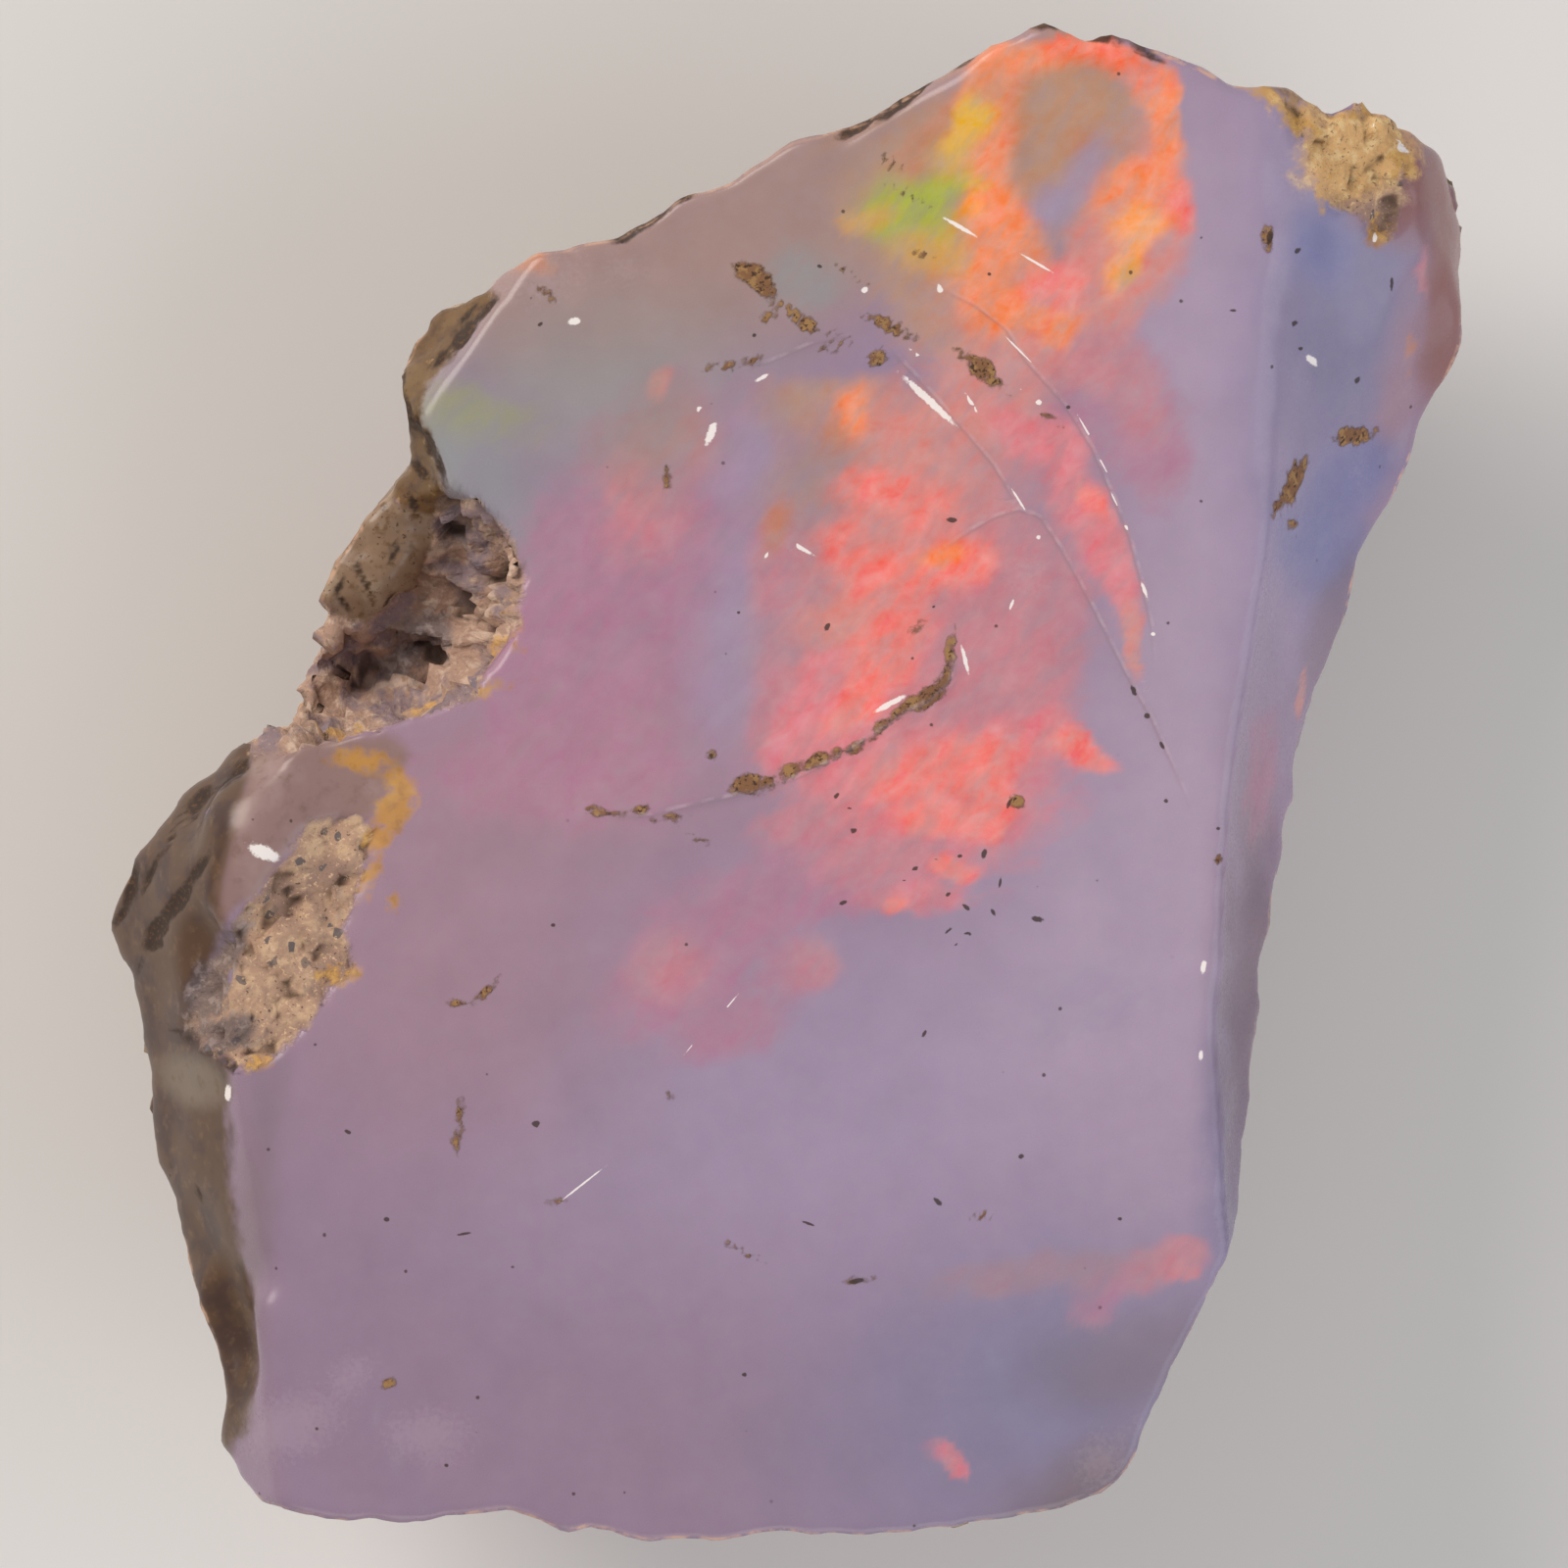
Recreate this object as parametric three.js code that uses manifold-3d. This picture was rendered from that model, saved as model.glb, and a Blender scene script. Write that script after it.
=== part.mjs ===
// Rough opal: a broken chip of milky precious opal with host rock still on it.
// Millimetres, +Z up. The stone lies with its broad fracture face up. The origin is
// under the middle of its outline, on the plane that it rests on.
import * as THREE from 'three';
import { mergeVertices } from 'three/addons/utils/BufferGeometryUtils.js';
import Module from 'manifold-3d';

const wasm = await Module();
wasm.setup();

// Driving dimensions
const FACE_HEIGHT = 9.1; // lowest point of the broad face above the rest plane
const STOCK_HEIGHT = 13; // the chip before its upper faces were struck off
const CORE = new THREE.Vector2(-0.05, -0.95); // the point that the outline is star-shaped about

// The outline seen from above, clockwise from the peak: x, y, and the height at which
// the side is widest. Below that height the underside turns in.
const OUTLINE = [
  [4.63, 13.91, 7.6], [5.56, 13.59, 7.6], [5.9, 13.72, 7.5], [7.24, 13.18, 7.3],
  [8.05, 12.78, 7.0], [9.16, 12.85, 6.4], [9.99, 12.38, 6.0], [10.48, 12.6, 5.8],
  [11.47, 12.06, 5.6], [12.2, 11.66, 5.5], [12.55, 10.49, 5.4], [12.6, 9.59, 5.4],
  [12.49, 8.15, 5.3], [11.68, 6.35, 5.0], [11.22, 5.18, 4.9], [10.57, 4.01, 4.8],
  [10.48, 3.29, 4.8], [9.7, 1.22, 5.0], [9.31, -0.76, 5.3], [8.86, -3.37, 5.8],
  [8.55, -6.16, 6.6], [8.3, -8.35, 8.0], [7.78, -9.31, 8.0], [6.97, -11.05, 7.8],
  [6.28, -12.6, 7.6], [5.74, -13.1, 7.6], [4.09, -13.52, 7.8], [2.29, -13.75, 8.0],
  [0.4, -13.81, 8.0], [-0.14, -13.68, 8.0], [-1.22, -13.88, 8.0], [-2.5, -13.9, 8.0],
  [-3.65, -13.61, 8.0], [-4.05, -13.72, 8.0], [-5.09, -13.28, 7.8], [-6.57, -13.55, 7.6],
  [-8.33, -13.52, 7.4], [-9.74, -13.19, 7.2], [-10.55, -12.19, 7.0], [-10.3, -11.41, 6.8],
  [-10.48, -10.62, 6.7], [-11.03, -9.0, 6.4], [-11.65, -7.06, 6.0], [-11.92, -5.08, 5.6],
  [-12.11, -4.09, 5.4], [-12.6, -2.65, 5.2], [-12.08, -1.35, 5.1], [-11.12, -0.09, 5.0],
  [-10.58, 0.25, 4.9], [-10.28, 0.68, 4.8], [-9.27, 1.13, 4.6], [-8.66, 2.57, 4.4],
  [-8.57, 2.9, 4.4], [-8.68, 3.38, 4.5], [-8.39, 3.98, 4.7], [-7.72, 4.95, 5.0],
  [-6.98, 5.99, 5.4], [-7.04, 6.71, 5.6], [-7.11, 7.52, 5.8], [-6.89, 8.21, 6.0],
  [-6.43, 8.69, 6.2], [-5.63, 9.0, 6.6], [-5.27, 9.41, 7.0], [-4.64, 9.7, 7.2],
  [-2.99, 10.01, 7.4], [-1.85, 10.76, 7.5], [-0.92, 11.09, 7.6], [0.04, 11.68, 7.6],
  [1.57, 12.24, 7.6], [2.79, 13.01, 7.6],
];

// The side from the rest plane up to the widest height: share of the outline, share of
// that height.
const SIDE = [
  [0.52, 0], [0.63, 0.05], [0.745, 0.18], [0.85, 0.38], [0.93, 0.6], [0.985, 0.82], [1, 1],
];
const SMOOTHING = 4; // outline points to each side that the underside is averaged over

// Flat fractures: a point on each and its outward normal. A fracture with a reach ends
// that many millimetres to each side of its point.
const FRACTURES = {
  lower_facet: { on: [3.5, -8.68, 9.6], facing: [0.02, -0.0875, 1] },
  left_facet: { on: [-10.15, -6.5, 9.35], facing: [-0.862, -0.101, 0.496] },
  left_flank: { on: [-11.0, -1.5, 8.8], facing: [-0.71, 0.5, 0.5], reach: 5 },
  left_corner: { on: [-11.5, -4.2, 8.5], facing: [-0.84, -0.24, 0.5], reach: 5 },
  flange: { on: [-6.15, 7.6, 9.1], facing: [-0.66, 0.49, 0.57], reach: 4 },
  shoulder: { on: [9.0, 8.0, 9.25], facing: [0.42, 0.03, 0.906], reach: 9 },
  outer_bevel: { on: [11.7, 9.5, 8.0], facing: [0.92, 0.1, 0.39], reach: 7 },
  outer_bevel_low: { on: [11.15, 5.9, 7.6], facing: [0.83, -0.39, 0.4], reach: 4 },
  top_ledge: { on: [2.3, 12.45, 9.1], facing: [-0.42, 0.62, 0.66], reach: 1.6 },
  under_south: { on: [0, -13.0, 5.0], facing: [0.08, -0.79, -0.6] },
  under_south_east: { on: [6.9, -9.9, 4.6], facing: [0.66, -0.47, -0.58] },
  under_east: { on: [8.6, -1.5, 3.4], facing: [0.8, -0.3, -0.54] },
  under_north_east: { on: [10.2, 9.8, 2.5], facing: [0.58, 0.5, -0.64] },
  under_north: { on: [1.6, 11.6, 4.4], facing: [-0.3, 0.7, -0.65] },
  under_north_west: { on: [-6.2, 6.6, 3.4], facing: [-0.68, 0.4, -0.61] },
  under_west: { on: [-10.9, -6.6, 3.6], facing: [-0.75, -0.18, -0.63] },
  under_belly: { on: [-2.5, -9.0, 0.7], facing: [-0.12, -0.2, -0.97] },
  under_shoulder: { on: [5.5, 6.5, 0.6], facing: [0.16, 0.16, -0.97] },
};

// Shell-shaped fractures: centre, half axes, and turns about x, y and z in degrees.
const SCOOPS = {
  main_flake: { at: [1.75, 5.58, FACE_HEIGHT + 2.5], half: [22, 24, 2.5], detail: 12 },
  outer_crescent: { at: [3.04, 4.57, 11.22], half: [6.5, 11.1, 2.3], turn: [0, 0, 29], detail: 10 },
  inner_crescent: { at: [3.06, 3.43, 11.16], half: [5.2, 13, 2.3], turn: [0, 0, 33], detail: 10 },
  clay_crease: { at: [-0.21, 2.65, 11.17], half: [9.4, 5.6, 2.3], turn: [0, 0, 26], detail: 10 },
  right_bevel: { at: [13.75, -4.5, 11], half: [6, 17, 8], detail: 11 },
  trough: { at: [11.0, 7.6, 10.6], half: [2.25, 5.4, 2.9], turn: [0, 0, -8], detail: 7 },
  left_hollow: { at: [-10.4, -10.1, 8.7], half: [0.75, 1.4, 0.9], turn: [0, 0, 10], detail: 4 },
  shelf: { at: [-8.3, 5.0, 10.1], half: [2.3, 2.3, 2.9], detail: 6 },
  south_scar: { at: [-4.0, -15.2, 2.4], half: [5.4, 4.2, 4.0], turn: [20, 0, 0], detail: 7 },
  east_scar: { at: [12.2, 2.0, 0.4], half: [4.4, 5.2, 3.6], turn: [0, 0, -10], detail: 7 },
  north_scar: { at: [5.2, 14.6, 1.6], half: [5.0, 3.6, 4.2], turn: [0, 0, -22], detail: 7 },
  west_scar: { at: [-12.6, -8.8, 1.6], half: [3.6, 4.4, 3.4], turn: [0, 0, 12], detail: 7 },
  under_flake: { at: [4.5, -3.0, -6.6], half: [9, 7, 7.5], turn: [0, -10, 25], detail: 9 },
};

// Hollows with the ragged walls that the host rock left when it broke away.
const RAGGED_HOLLOWS = {
  pocket: { at: [-7.05, 3.45, 9.6], half: [2.1, 2.1, 3.1], rough: 0.09, detail: 5 },
  pocket_mouth: {
    at: [-8.15, 1.95, 9.4], half: [2.9, 1.05, 3.6], turn: [0, 0, 13], rough: 0.09, detail: 5,
  },
  matrix_hollow: {
    at: [-11.0, -3.5, 9.4], half: [0.8, 1.25, 0.95], turn: [0, 0, -12], rough: 0.12, detail: 3,
  },
};

// Patches of host rock: the middle and facing of an oval area that is strewn with
// embedded lumps, its two half sizes and its turn in that area, in degrees.
const CRUSTS = {
  left_patch: {
    at: [-8.95, -3.0, 9.5], facing: [-0.05, 0, 1], half: [1.15, 2.2], turn: -20, lumps: 18, size: 0.6,
  },
  corner_patch: {
    at: [10.3, 11.2, 8.6], facing: [0.3, 0.1, 1], half: [1.5, 1.0], turn: -35, lumps: 13, size: 0.58,
  },
  pocket_wall: {
    at: [-5.5, 3.0, 7.9], facing: [-0.8, 0.2, 0.5], half: [1.3, 1.1], turn: 0, lumps: 10, size: 0.6,
  },
  pocket_floor: {
    at: [-7.9, 2.0, 6.1], facing: [-0.2, 0.1, 1], half: [1.5, 0.8], turn: 10, lumps: 7, size: 0.55,
  },
  back_patch: {
    at: [-9.3, 1.2, 3.6], facing: [-0.8, 0.35, -0.45], half: [2.6, 1.5], turn: 15, lumps: 15, size: 0.75,
  },
};

// Smooth glassy swellings of the opal itself.
const KNOBS = [
  { at: [-9.6, -1.1, 8.95], half: [1.1, 1.25, 0.95], detail: 4 },
  { at: [-7.4, 4.3, 6.4], half: [1.1, 1.65, 1.1], turn: [0, -8, -37], rough: 0.03, detail: 4 },
];

// A repeatable random number from 0 to 1.
function makeRandom(seed) {
  let state = seed;
  return () => {
    state = (state * 1664525 + 1013904223) % 4294967296;
    return state / 4294967296;
  };
}

const random = makeRandom(41);

// Keeps only positions and joins the vertices that coincide.
function joined(geometry) {
  geometry.deleteAttribute('normal');
  geometry.deleteAttribute('uv');
  return mergeVertices(geometry);
}

function toSolid(geometry) {
  const merged = joined(geometry);
  const corners = Array.from(merged.index.array);
  const kept = [];
  for (let i = 0; i < corners.length; i += 3) {
    const [a, b, c] = corners.slice(i, i + 3);
    if (a !== b && b !== c && c !== a) kept.push(a, b, c);
  }
  const mesh = new wasm.Mesh({
    numProp: 3,
    vertProperties: new Float32Array(merged.attributes.position.array),
    triVerts: new Uint32Array(kept),
  });
  return new wasm.Manifold(mesh);
}

function toGeometry(solid) {
  const mesh = solid.getMesh();
  const geometry = new THREE.BufferGeometry();
  geometry.setAttribute('position', new THREE.BufferAttribute(mesh.vertProperties, 3));
  geometry.setIndex(new THREE.BufferAttribute(mesh.triVerts, 1));
  geometry.computeVertexNormals();
  return geometry;
}

function turned(geometry, [x, y, z]) {
  const { degToRad } = THREE.MathUtils;
  geometry.rotateX(degToRad(x));
  geometry.rotateY(degToRad(y));
  geometry.rotateZ(degToRad(z));
  return geometry;
}

// The outline, and the same averaged over its neighbours, both counter-clockwise.
function outlines() {
  const sharp = OUTLINE.toReversed().map((point) => new THREE.Vector3(...point));
  const smooth = sharp.map((_, i) => {
    const sum = new THREE.Vector3();
    for (let step = -SMOOTHING; step <= SMOOTHING; step += 1) {
      sum.add(sharp[(i + step + sharp.length) % sharp.length]);
    }
    return sum.divideScalar(2 * SMOOTHING + 1);
  });
  return { sharp, smooth };
}

// The unbroken chip: a lathed profile whose columns are drawn out to the outline, sharp
// at the widest height and smoother towards the underside.
function stock() {
  const { sharp, smooth } = outlines();
  const columns = sharp.length;
  const profile = [[0, 0], ...SIDE, [1, 2], [0, 2]];
  const lathe = new THREE.LatheGeometry(
    profile.map(([share, height]) => new THREE.Vector2(share, height)), columns);
  const position = lathe.attributes.position;
  for (let i = 0; i < position.count; i += 1) {
    const column = Math.floor(i / profile.length) % columns;
    const [share, height] = profile[i % profile.length];
    const edge = smooth[column].clone().lerp(sharp[column], Math.min(height, 1));
    const z = height > 1 ? STOCK_HEIGHT : height * edge.z;
    position.setXYZ(
      i,
      CORE.x + (edge.x - CORE.x) * share,
      CORE.y + (edge.y - CORE.y) * share,
      z,
    );
  }
  return toSolid(lathe);
}

// The turn that takes +Z to a facing.
function turnTo(facing) {
  const outward = new THREE.Vector3(...facing).normalize();
  return new THREE.Quaternion().setFromUnitVectors(new THREE.Vector3(0, 0, 1), outward);
}

// All that lies outside a flat fracture.
function beyond({ on, facing, reach = 30 }) {
  const block = new THREE.BoxGeometry(2 * reach, 2 * reach, 2 * reach);
  block.translate(0, 0, reach);
  block.applyQuaternion(turnTo(facing));
  block.translate(...on);
  return toSolid(block);
}

// An ellipsoid, ragged if rough is above zero.
function ball({ at, half, turn = [0, 0, 0], rough = 0, detail = 4 }) {
  const geometry = joined(new THREE.IcosahedronGeometry(1, detail));
  const position = geometry.attributes.position;
  for (let i = 0; i < position.count; i += 1) {
    const swell = 1 + rough * (random() * 2 - 1);
    position.setXYZ(i, position.getX(i) * swell, position.getY(i) * swell, position.getZ(i) * swell);
  }
  geometry.scale(...half);
  turned(geometry, turn);
  geometry.translate(...at);
  return toSolid(geometry);
}

// The lumps of one patch of host rock, half sunk in the stone.
function crustLumps({ at, facing, half, turn, lumps, size }) {
  const made = [];
  for (let i = 0; i < lumps; i += 1) {
    const angle = random() * Math.PI * 2;
    const share = Math.sqrt(random());
    const grain = size * (0.6 + random() * 0.6);
    const sunk = grain * 0.5 - random() * 0.15;
    const along = Math.cos(angle) * share * half[0];
    const across = Math.sin(angle) * share * half[1];
    const place = new THREE.Vector3(along, across, -sunk);
    place.applyAxisAngle(new THREE.Vector3(0, 0, 1), THREE.MathUtils.degToRad(turn));
    place.applyQuaternion(turnTo(facing));
    place.add(new THREE.Vector3(...at));
    made.push(ball({
      at: place.toArray(),
      half: [grain, grain * (0.8 + random() * 0.4), grain * 0.8],
      turn: [random() * 360, random() * 360, random() * 360],
      rough: 0.16,
      detail: 1,
    }));
  }
  return made;
}

// The outer surface alone: where lumps meet, they may seal a gap between them.
function withoutSealedGaps(solid) {
  const surfaces = solid.decompose();
  return surfaces.reduce((largest, next) => (next.volume() > largest.volume() ? next : largest));
}

// Puts the middle of the outline over the origin and the base at height zero.
function standing(geometry) {
  geometry.computeBoundingBox();
  const { min, max } = geometry.boundingBox;
  return geometry.translate(-(min.x + max.x) / 2, -(min.y + max.y) / 2, -min.z);
}

function roughOpal() {
  let stone = stock();
  for (const fracture of Object.values(FRACTURES)) stone = stone.subtract(beyond(fracture));
  for (const scoop of Object.values(SCOOPS)) stone = stone.subtract(ball(scoop));
  for (const hollow of Object.values(RAGGED_HOLLOWS)) stone = stone.subtract(ball(hollow));
  for (const knob of KNOBS) stone = stone.add(ball(knob));
  for (const crust of Object.values(CRUSTS)) {
    for (const lump of crustLumps(crust)) {
      if (!stone.intersect(lump).isEmpty()) stone = stone.add(lump);
    }
  }
  const milkyOpal = new THREE.MeshStandardMaterial({ color: 0xa395a6, roughness: 0.25, metalness: 0 });
  const mesh = new THREE.Mesh(standing(toGeometry(withoutSealedGaps(stone))), milkyOpal);
  mesh.name = 'rough_opal';
  return mesh;
}

const opal = new THREE.Group();
opal.add(roughOpal());

export default opal;
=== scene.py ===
"""Rough chip of milky precious opal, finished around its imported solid. Metres, +Z up.

One piece stands for the solid: the same fractures and shell-shaped scars, cut finer, with
the rough host rock, the clay in the cracks and the play of colour under the surface.
"""
import math

import bmesh
import bpy
import numpy as np
from mathutils import Euler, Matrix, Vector, noise


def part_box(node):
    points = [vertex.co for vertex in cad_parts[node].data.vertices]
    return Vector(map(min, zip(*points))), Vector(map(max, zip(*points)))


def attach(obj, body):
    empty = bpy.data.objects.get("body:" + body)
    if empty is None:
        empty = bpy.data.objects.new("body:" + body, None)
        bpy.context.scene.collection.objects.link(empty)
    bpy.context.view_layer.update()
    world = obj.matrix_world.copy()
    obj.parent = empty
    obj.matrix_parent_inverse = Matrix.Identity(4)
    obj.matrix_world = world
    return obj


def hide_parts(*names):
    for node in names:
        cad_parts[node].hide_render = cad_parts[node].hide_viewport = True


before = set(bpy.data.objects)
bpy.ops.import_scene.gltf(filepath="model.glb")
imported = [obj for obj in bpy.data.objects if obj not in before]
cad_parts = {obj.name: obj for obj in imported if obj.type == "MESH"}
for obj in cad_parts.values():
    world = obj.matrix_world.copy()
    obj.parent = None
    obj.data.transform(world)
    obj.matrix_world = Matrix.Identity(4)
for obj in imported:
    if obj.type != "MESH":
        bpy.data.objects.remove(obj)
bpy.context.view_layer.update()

MM = 0.001

# The photograph is 1600 pixels across. A place read from it is turned to millimetres here.
PIXEL = 0.018
MIDDLE_PX = (803, 798)


def seen(px, py):
    """Where a pixel of the photograph lies on the stone, in millimetres."""
    return ((px - MIDDLE_PX[0]) * PIXEL, (MIDDLE_PX[1] - py) * PIXEL)


# The form, as in the solid. Millimetres.
CORE = (-0.05, -0.95)
SMOOTHING = 4        # corners of the outline to each side that low down are averaged
OUTLINE = [
    (4.63, 13.91, 7.6), (5.56, 13.59, 7.6), (5.9, 13.72, 7.5), (7.24, 13.18, 7.3), (8.05, 12.78, 7.0),
    (9.16, 12.85, 6.4), (9.99, 12.38, 6.0), (10.48, 12.6, 5.8), (11.47, 12.06, 5.6), (12.2, 11.66, 5.5),
    (12.55, 10.49, 5.4), (12.6, 9.59, 5.4), (12.49, 8.15, 5.3), (11.68, 6.35, 5.0), (11.22, 5.18, 4.9),
    (10.57, 4.01, 4.8), (10.48, 3.29, 4.8), (9.7, 1.22, 5.0), (9.31, -0.76, 5.3), (8.86, -3.37, 5.8),
    (8.55, -6.16, 6.6), (8.3, -8.35, 8.0), (7.78, -9.31, 8.0), (6.97, -11.05, 7.8), (6.28, -12.6, 7.6),
    (5.74, -13.1, 7.6), (4.09, -13.52, 7.8), (2.29, -13.75, 8.0), (0.4, -13.81, 8.0), (-0.14, -13.68, 8.0),
    (-1.22, -13.88, 8.0), (-2.5, -13.9, 8.0), (-3.65, -13.61, 8.0), (-4.05, -13.72, 8.0),
    (-5.09, -13.28, 7.8), (-6.57, -13.55, 7.6), (-8.33, -13.52, 7.4), (-9.74, -13.19, 7.2),
    (-10.55, -12.19, 7.0), (-10.3, -11.41, 6.8), (-10.48, -10.62, 6.7), (-11.03, -9.0, 6.4),
    (-11.65, -7.06, 6.0), (-11.92, -5.08, 5.6), (-12.11, -4.09, 5.4), (-12.6, -2.65, 5.2),
    (-12.08, -1.35, 5.1), (-11.12, -0.09, 5.0), (-10.58, 0.25, 4.9), (-10.28, 0.68, 4.8),
    (-9.27, 1.13, 4.6), (-8.66, 2.57, 4.4), (-8.57, 2.9, 4.4), (-8.68, 3.38, 4.5), (-8.39, 3.98, 4.7),
    (-7.72, 4.95, 5.0), (-6.98, 5.99, 5.4), (-7.04, 6.71, 5.6), (-7.11, 7.52, 5.8), (-6.89, 8.21, 6.0),
    (-6.43, 8.69, 6.2), (-5.63, 9.0, 6.6), (-5.27, 9.41, 7.0), (-4.64, 9.7, 7.2), (-2.99, 10.01, 7.4),
    (-1.85, 10.76, 7.5), (-0.92, 11.09, 7.6), (0.04, 11.68, 7.6), (1.57, 12.24, 7.6), (2.79, 13.01, 7.6),
]
SIDE = [
    (0.52, 0), (0.63, 0.05), (0.745, 0.18), (0.85, 0.38), (0.93, 0.6), (0.985, 0.82), (1, 1),
]
# Flat fractures: a point, the outward facing, and how far the break runs to each side.
FRACTURES = {
    "lower_facet": ((3.5, -8.68, 9.6), (0.02, -0.0875, 1), 30),
    "left_facet": ((-10.15, -6.5, 9.35), (-0.862, -0.101, 0.496), 30),
    "left_flank": ((-11.0, -1.5, 8.8), (-0.71, 0.5, 0.5), 5),
    "left_corner": ((-11.5, -4.2, 8.5), (-0.84, -0.24, 0.5), 5),
    "flange": ((-6.15, 7.6, 9.1), (-0.66, 0.49, 0.57), 4),
    "shoulder": ((9.0, 8.0, 9.25), (0.42, 0.03, 0.906), 9),
    "outer_bevel": ((11.7, 9.5, 8.0), (0.92, 0.1, 0.39), 7),
    "outer_bevel_low": ((11.15, 5.9, 7.6), (0.83, -0.39, 0.4), 4),
    "top_ledge": ((2.3, 12.45, 9.1), (-0.42, 0.62, 0.66), 1.6),
    "under_south": ((0, -13.0, 5.0), (0.08, -0.79, -0.6), 30),
    "under_south_east": ((6.9, -9.9, 4.6), (0.66, -0.47, -0.58), 30),
    "under_east": ((8.6, -1.5, 3.4), (0.8, -0.3, -0.54), 30),
    "under_north_east": ((10.2, 9.8, 2.5), (0.58, 0.5, -0.64), 30),
    "under_north": ((1.6, 11.6, 4.4), (-0.3, 0.7, -0.65), 30),
    "under_north_west": ((-6.2, 6.6, 3.4), (-0.68, 0.4, -0.61), 30),
    "under_west": ((-10.9, -6.6, 3.6), (-0.75, -0.18, -0.63), 30),
    "under_belly": ((-2.5, -9.0, 0.7), (-0.12, -0.2, -0.97), 30),
    "under_shoulder": ((5.5, 6.5, 0.6), (0.16, 0.16, -0.97), 30),
}
# Shell-shaped fractures and hollows: centre, half axes, turns about x, y and z in degrees.
SCOOPS = {
    "main_flake": ((1.75, 5.58, 11.6), (22, 24, 2.5), (0, 0, 0)),
    "outer_crescent": ((3.04, 4.57, 11.22), (6.5, 11.1, 2.3), (0, 0, 29)),
    "inner_crescent": ((3.06, 3.43, 11.16), (5.2, 13, 2.3), (0, 0, 33)),
    "clay_crease": ((-0.21, 2.65, 11.17), (9.4, 5.6, 2.3), (0, 0, 26)),
    "right_bevel": ((13.75, -4.5, 11), (6, 17, 8), (0, 0, 0)),
    "trough": ((11.0, 7.6, 10.6), (2.25, 5.4, 2.9), (0, 0, -8)),
    "left_hollow": ((-10.4, -10.1, 8.7), (0.75, 1.4, 0.9), (0, 0, 10)),
    "shelf": ((-8.3, 5.0, 10.1), (2.3, 2.3, 2.9), (0, 0, 0)),
    "south_scar": ((-4.0, -15.2, 2.4), (5.4, 4.2, 4.0), (20, 0, 0)),
    "east_scar": ((12.2, 2.0, 0.4), (4.4, 5.2, 3.6), (0, 0, -10)),
    "north_scar": ((5.2, 14.6, 1.6), (5.0, 3.6, 4.2), (0, 0, -22)),
    "west_scar": ((-12.6, -8.8, 1.6), (3.6, 4.4, 3.4), (0, 0, 12)),
    "under_flake": ((4.5, -3.0, -6.6), (9, 7, 7.5), (0, -10, 25)),
    "pocket": ((-7.05, 3.45, 9.6), (2.1, 2.1, 3.1), (0, 0, 0)),
    "pocket_mouth": ((-8.15, 1.95, 9.4), (2.9, 1.05, 3.6), (0, 0, 13)),
    "matrix_hollow": ((-11.0, -3.5, 9.4), (0.8, 1.25, 0.95), (0, 0, -12)),
}
KNOBS = {
    "matrix_knob": ((-9.6, -1.1, 8.95), (1.1, 1.25, 0.95), (0, 0, 0)),
    "flange_lobe": ((-7.4, 4.3, 6.4), (1.1, 1.65, 1.1), (0, -8, -37)),
}
# Radius that each edge is worn to: fresh breaks are nearly sharp, the old underside is round.
SHARP_EDGE = 0.10
OLD_EDGE = 0.45
WORN = {
    "trough": 0.7, "shoulder": 0.7, "outer_bevel": 0.45, "outer_bevel_low": 0.45, "left_hollow": 0.4,
    "right_bevel": 0.16, "left_facet": 0.2, "left_flank": 0.25, "left_corner": 0.25, "matrix_hollow": 0.3,
    "flange": 0.14, "shelf": 0.2,
}
KNOB_ROOT = 0.35
REACH_EDGE = 0.5     # where a flat fracture runs out
FOOT_EDGE = 0.2      # round the flat that it rests on
# Ripples of the breaks: direction in radians a millimetre, start, height in millimetres.
RIPPLES = [
    ((1.7, 1.1, 0.6), 0.3, 0.030), ((-0.9, 2.1, 1.2), 1.7, 0.022), ((2.6, -1.9, 2.2), 4.1, 0.010),
    ((4.8, 3.9, -3.1), 2.2, 0.003), ((-6.1, 5.2, 4.4), 5.0, 0.002), ((9.5, -7.7, 6.1), 0.9, 0.001),
]
AXIS_SHIFT = 2.1     # so that a ripple doesn't push along x, y and z at once
# Long bends that keep the ripples from lining up: direction, start, push on a ripple's phase.
BENDS = [((0.41, 0.53, -0.37), 1.1, 1.9), ((-0.72, 0.33, 0.48), 4.0, 1.5)]
# Chips of the outline: how many a millimetre, where in the noise, depth. The outline is set in first.
EDGE_CHIPS = [(1.5, 3.1, 0.075), (3.6, 9.7, 0.035)]
EDGE_INSET = 0.05

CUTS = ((168, 186, 50))
TOP = 9.4
BOTTOM_SEEN = 2.0    # no upward face lies lower than this
RING_STEPS = 2048
SHARP_STEPS = 5      # steps of the ring that are averaged along the sharp outline
SMOOTH_STEPS = 41    # and along the smoothed one
PROFILE_STEPS = 25   # and up the side


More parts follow.
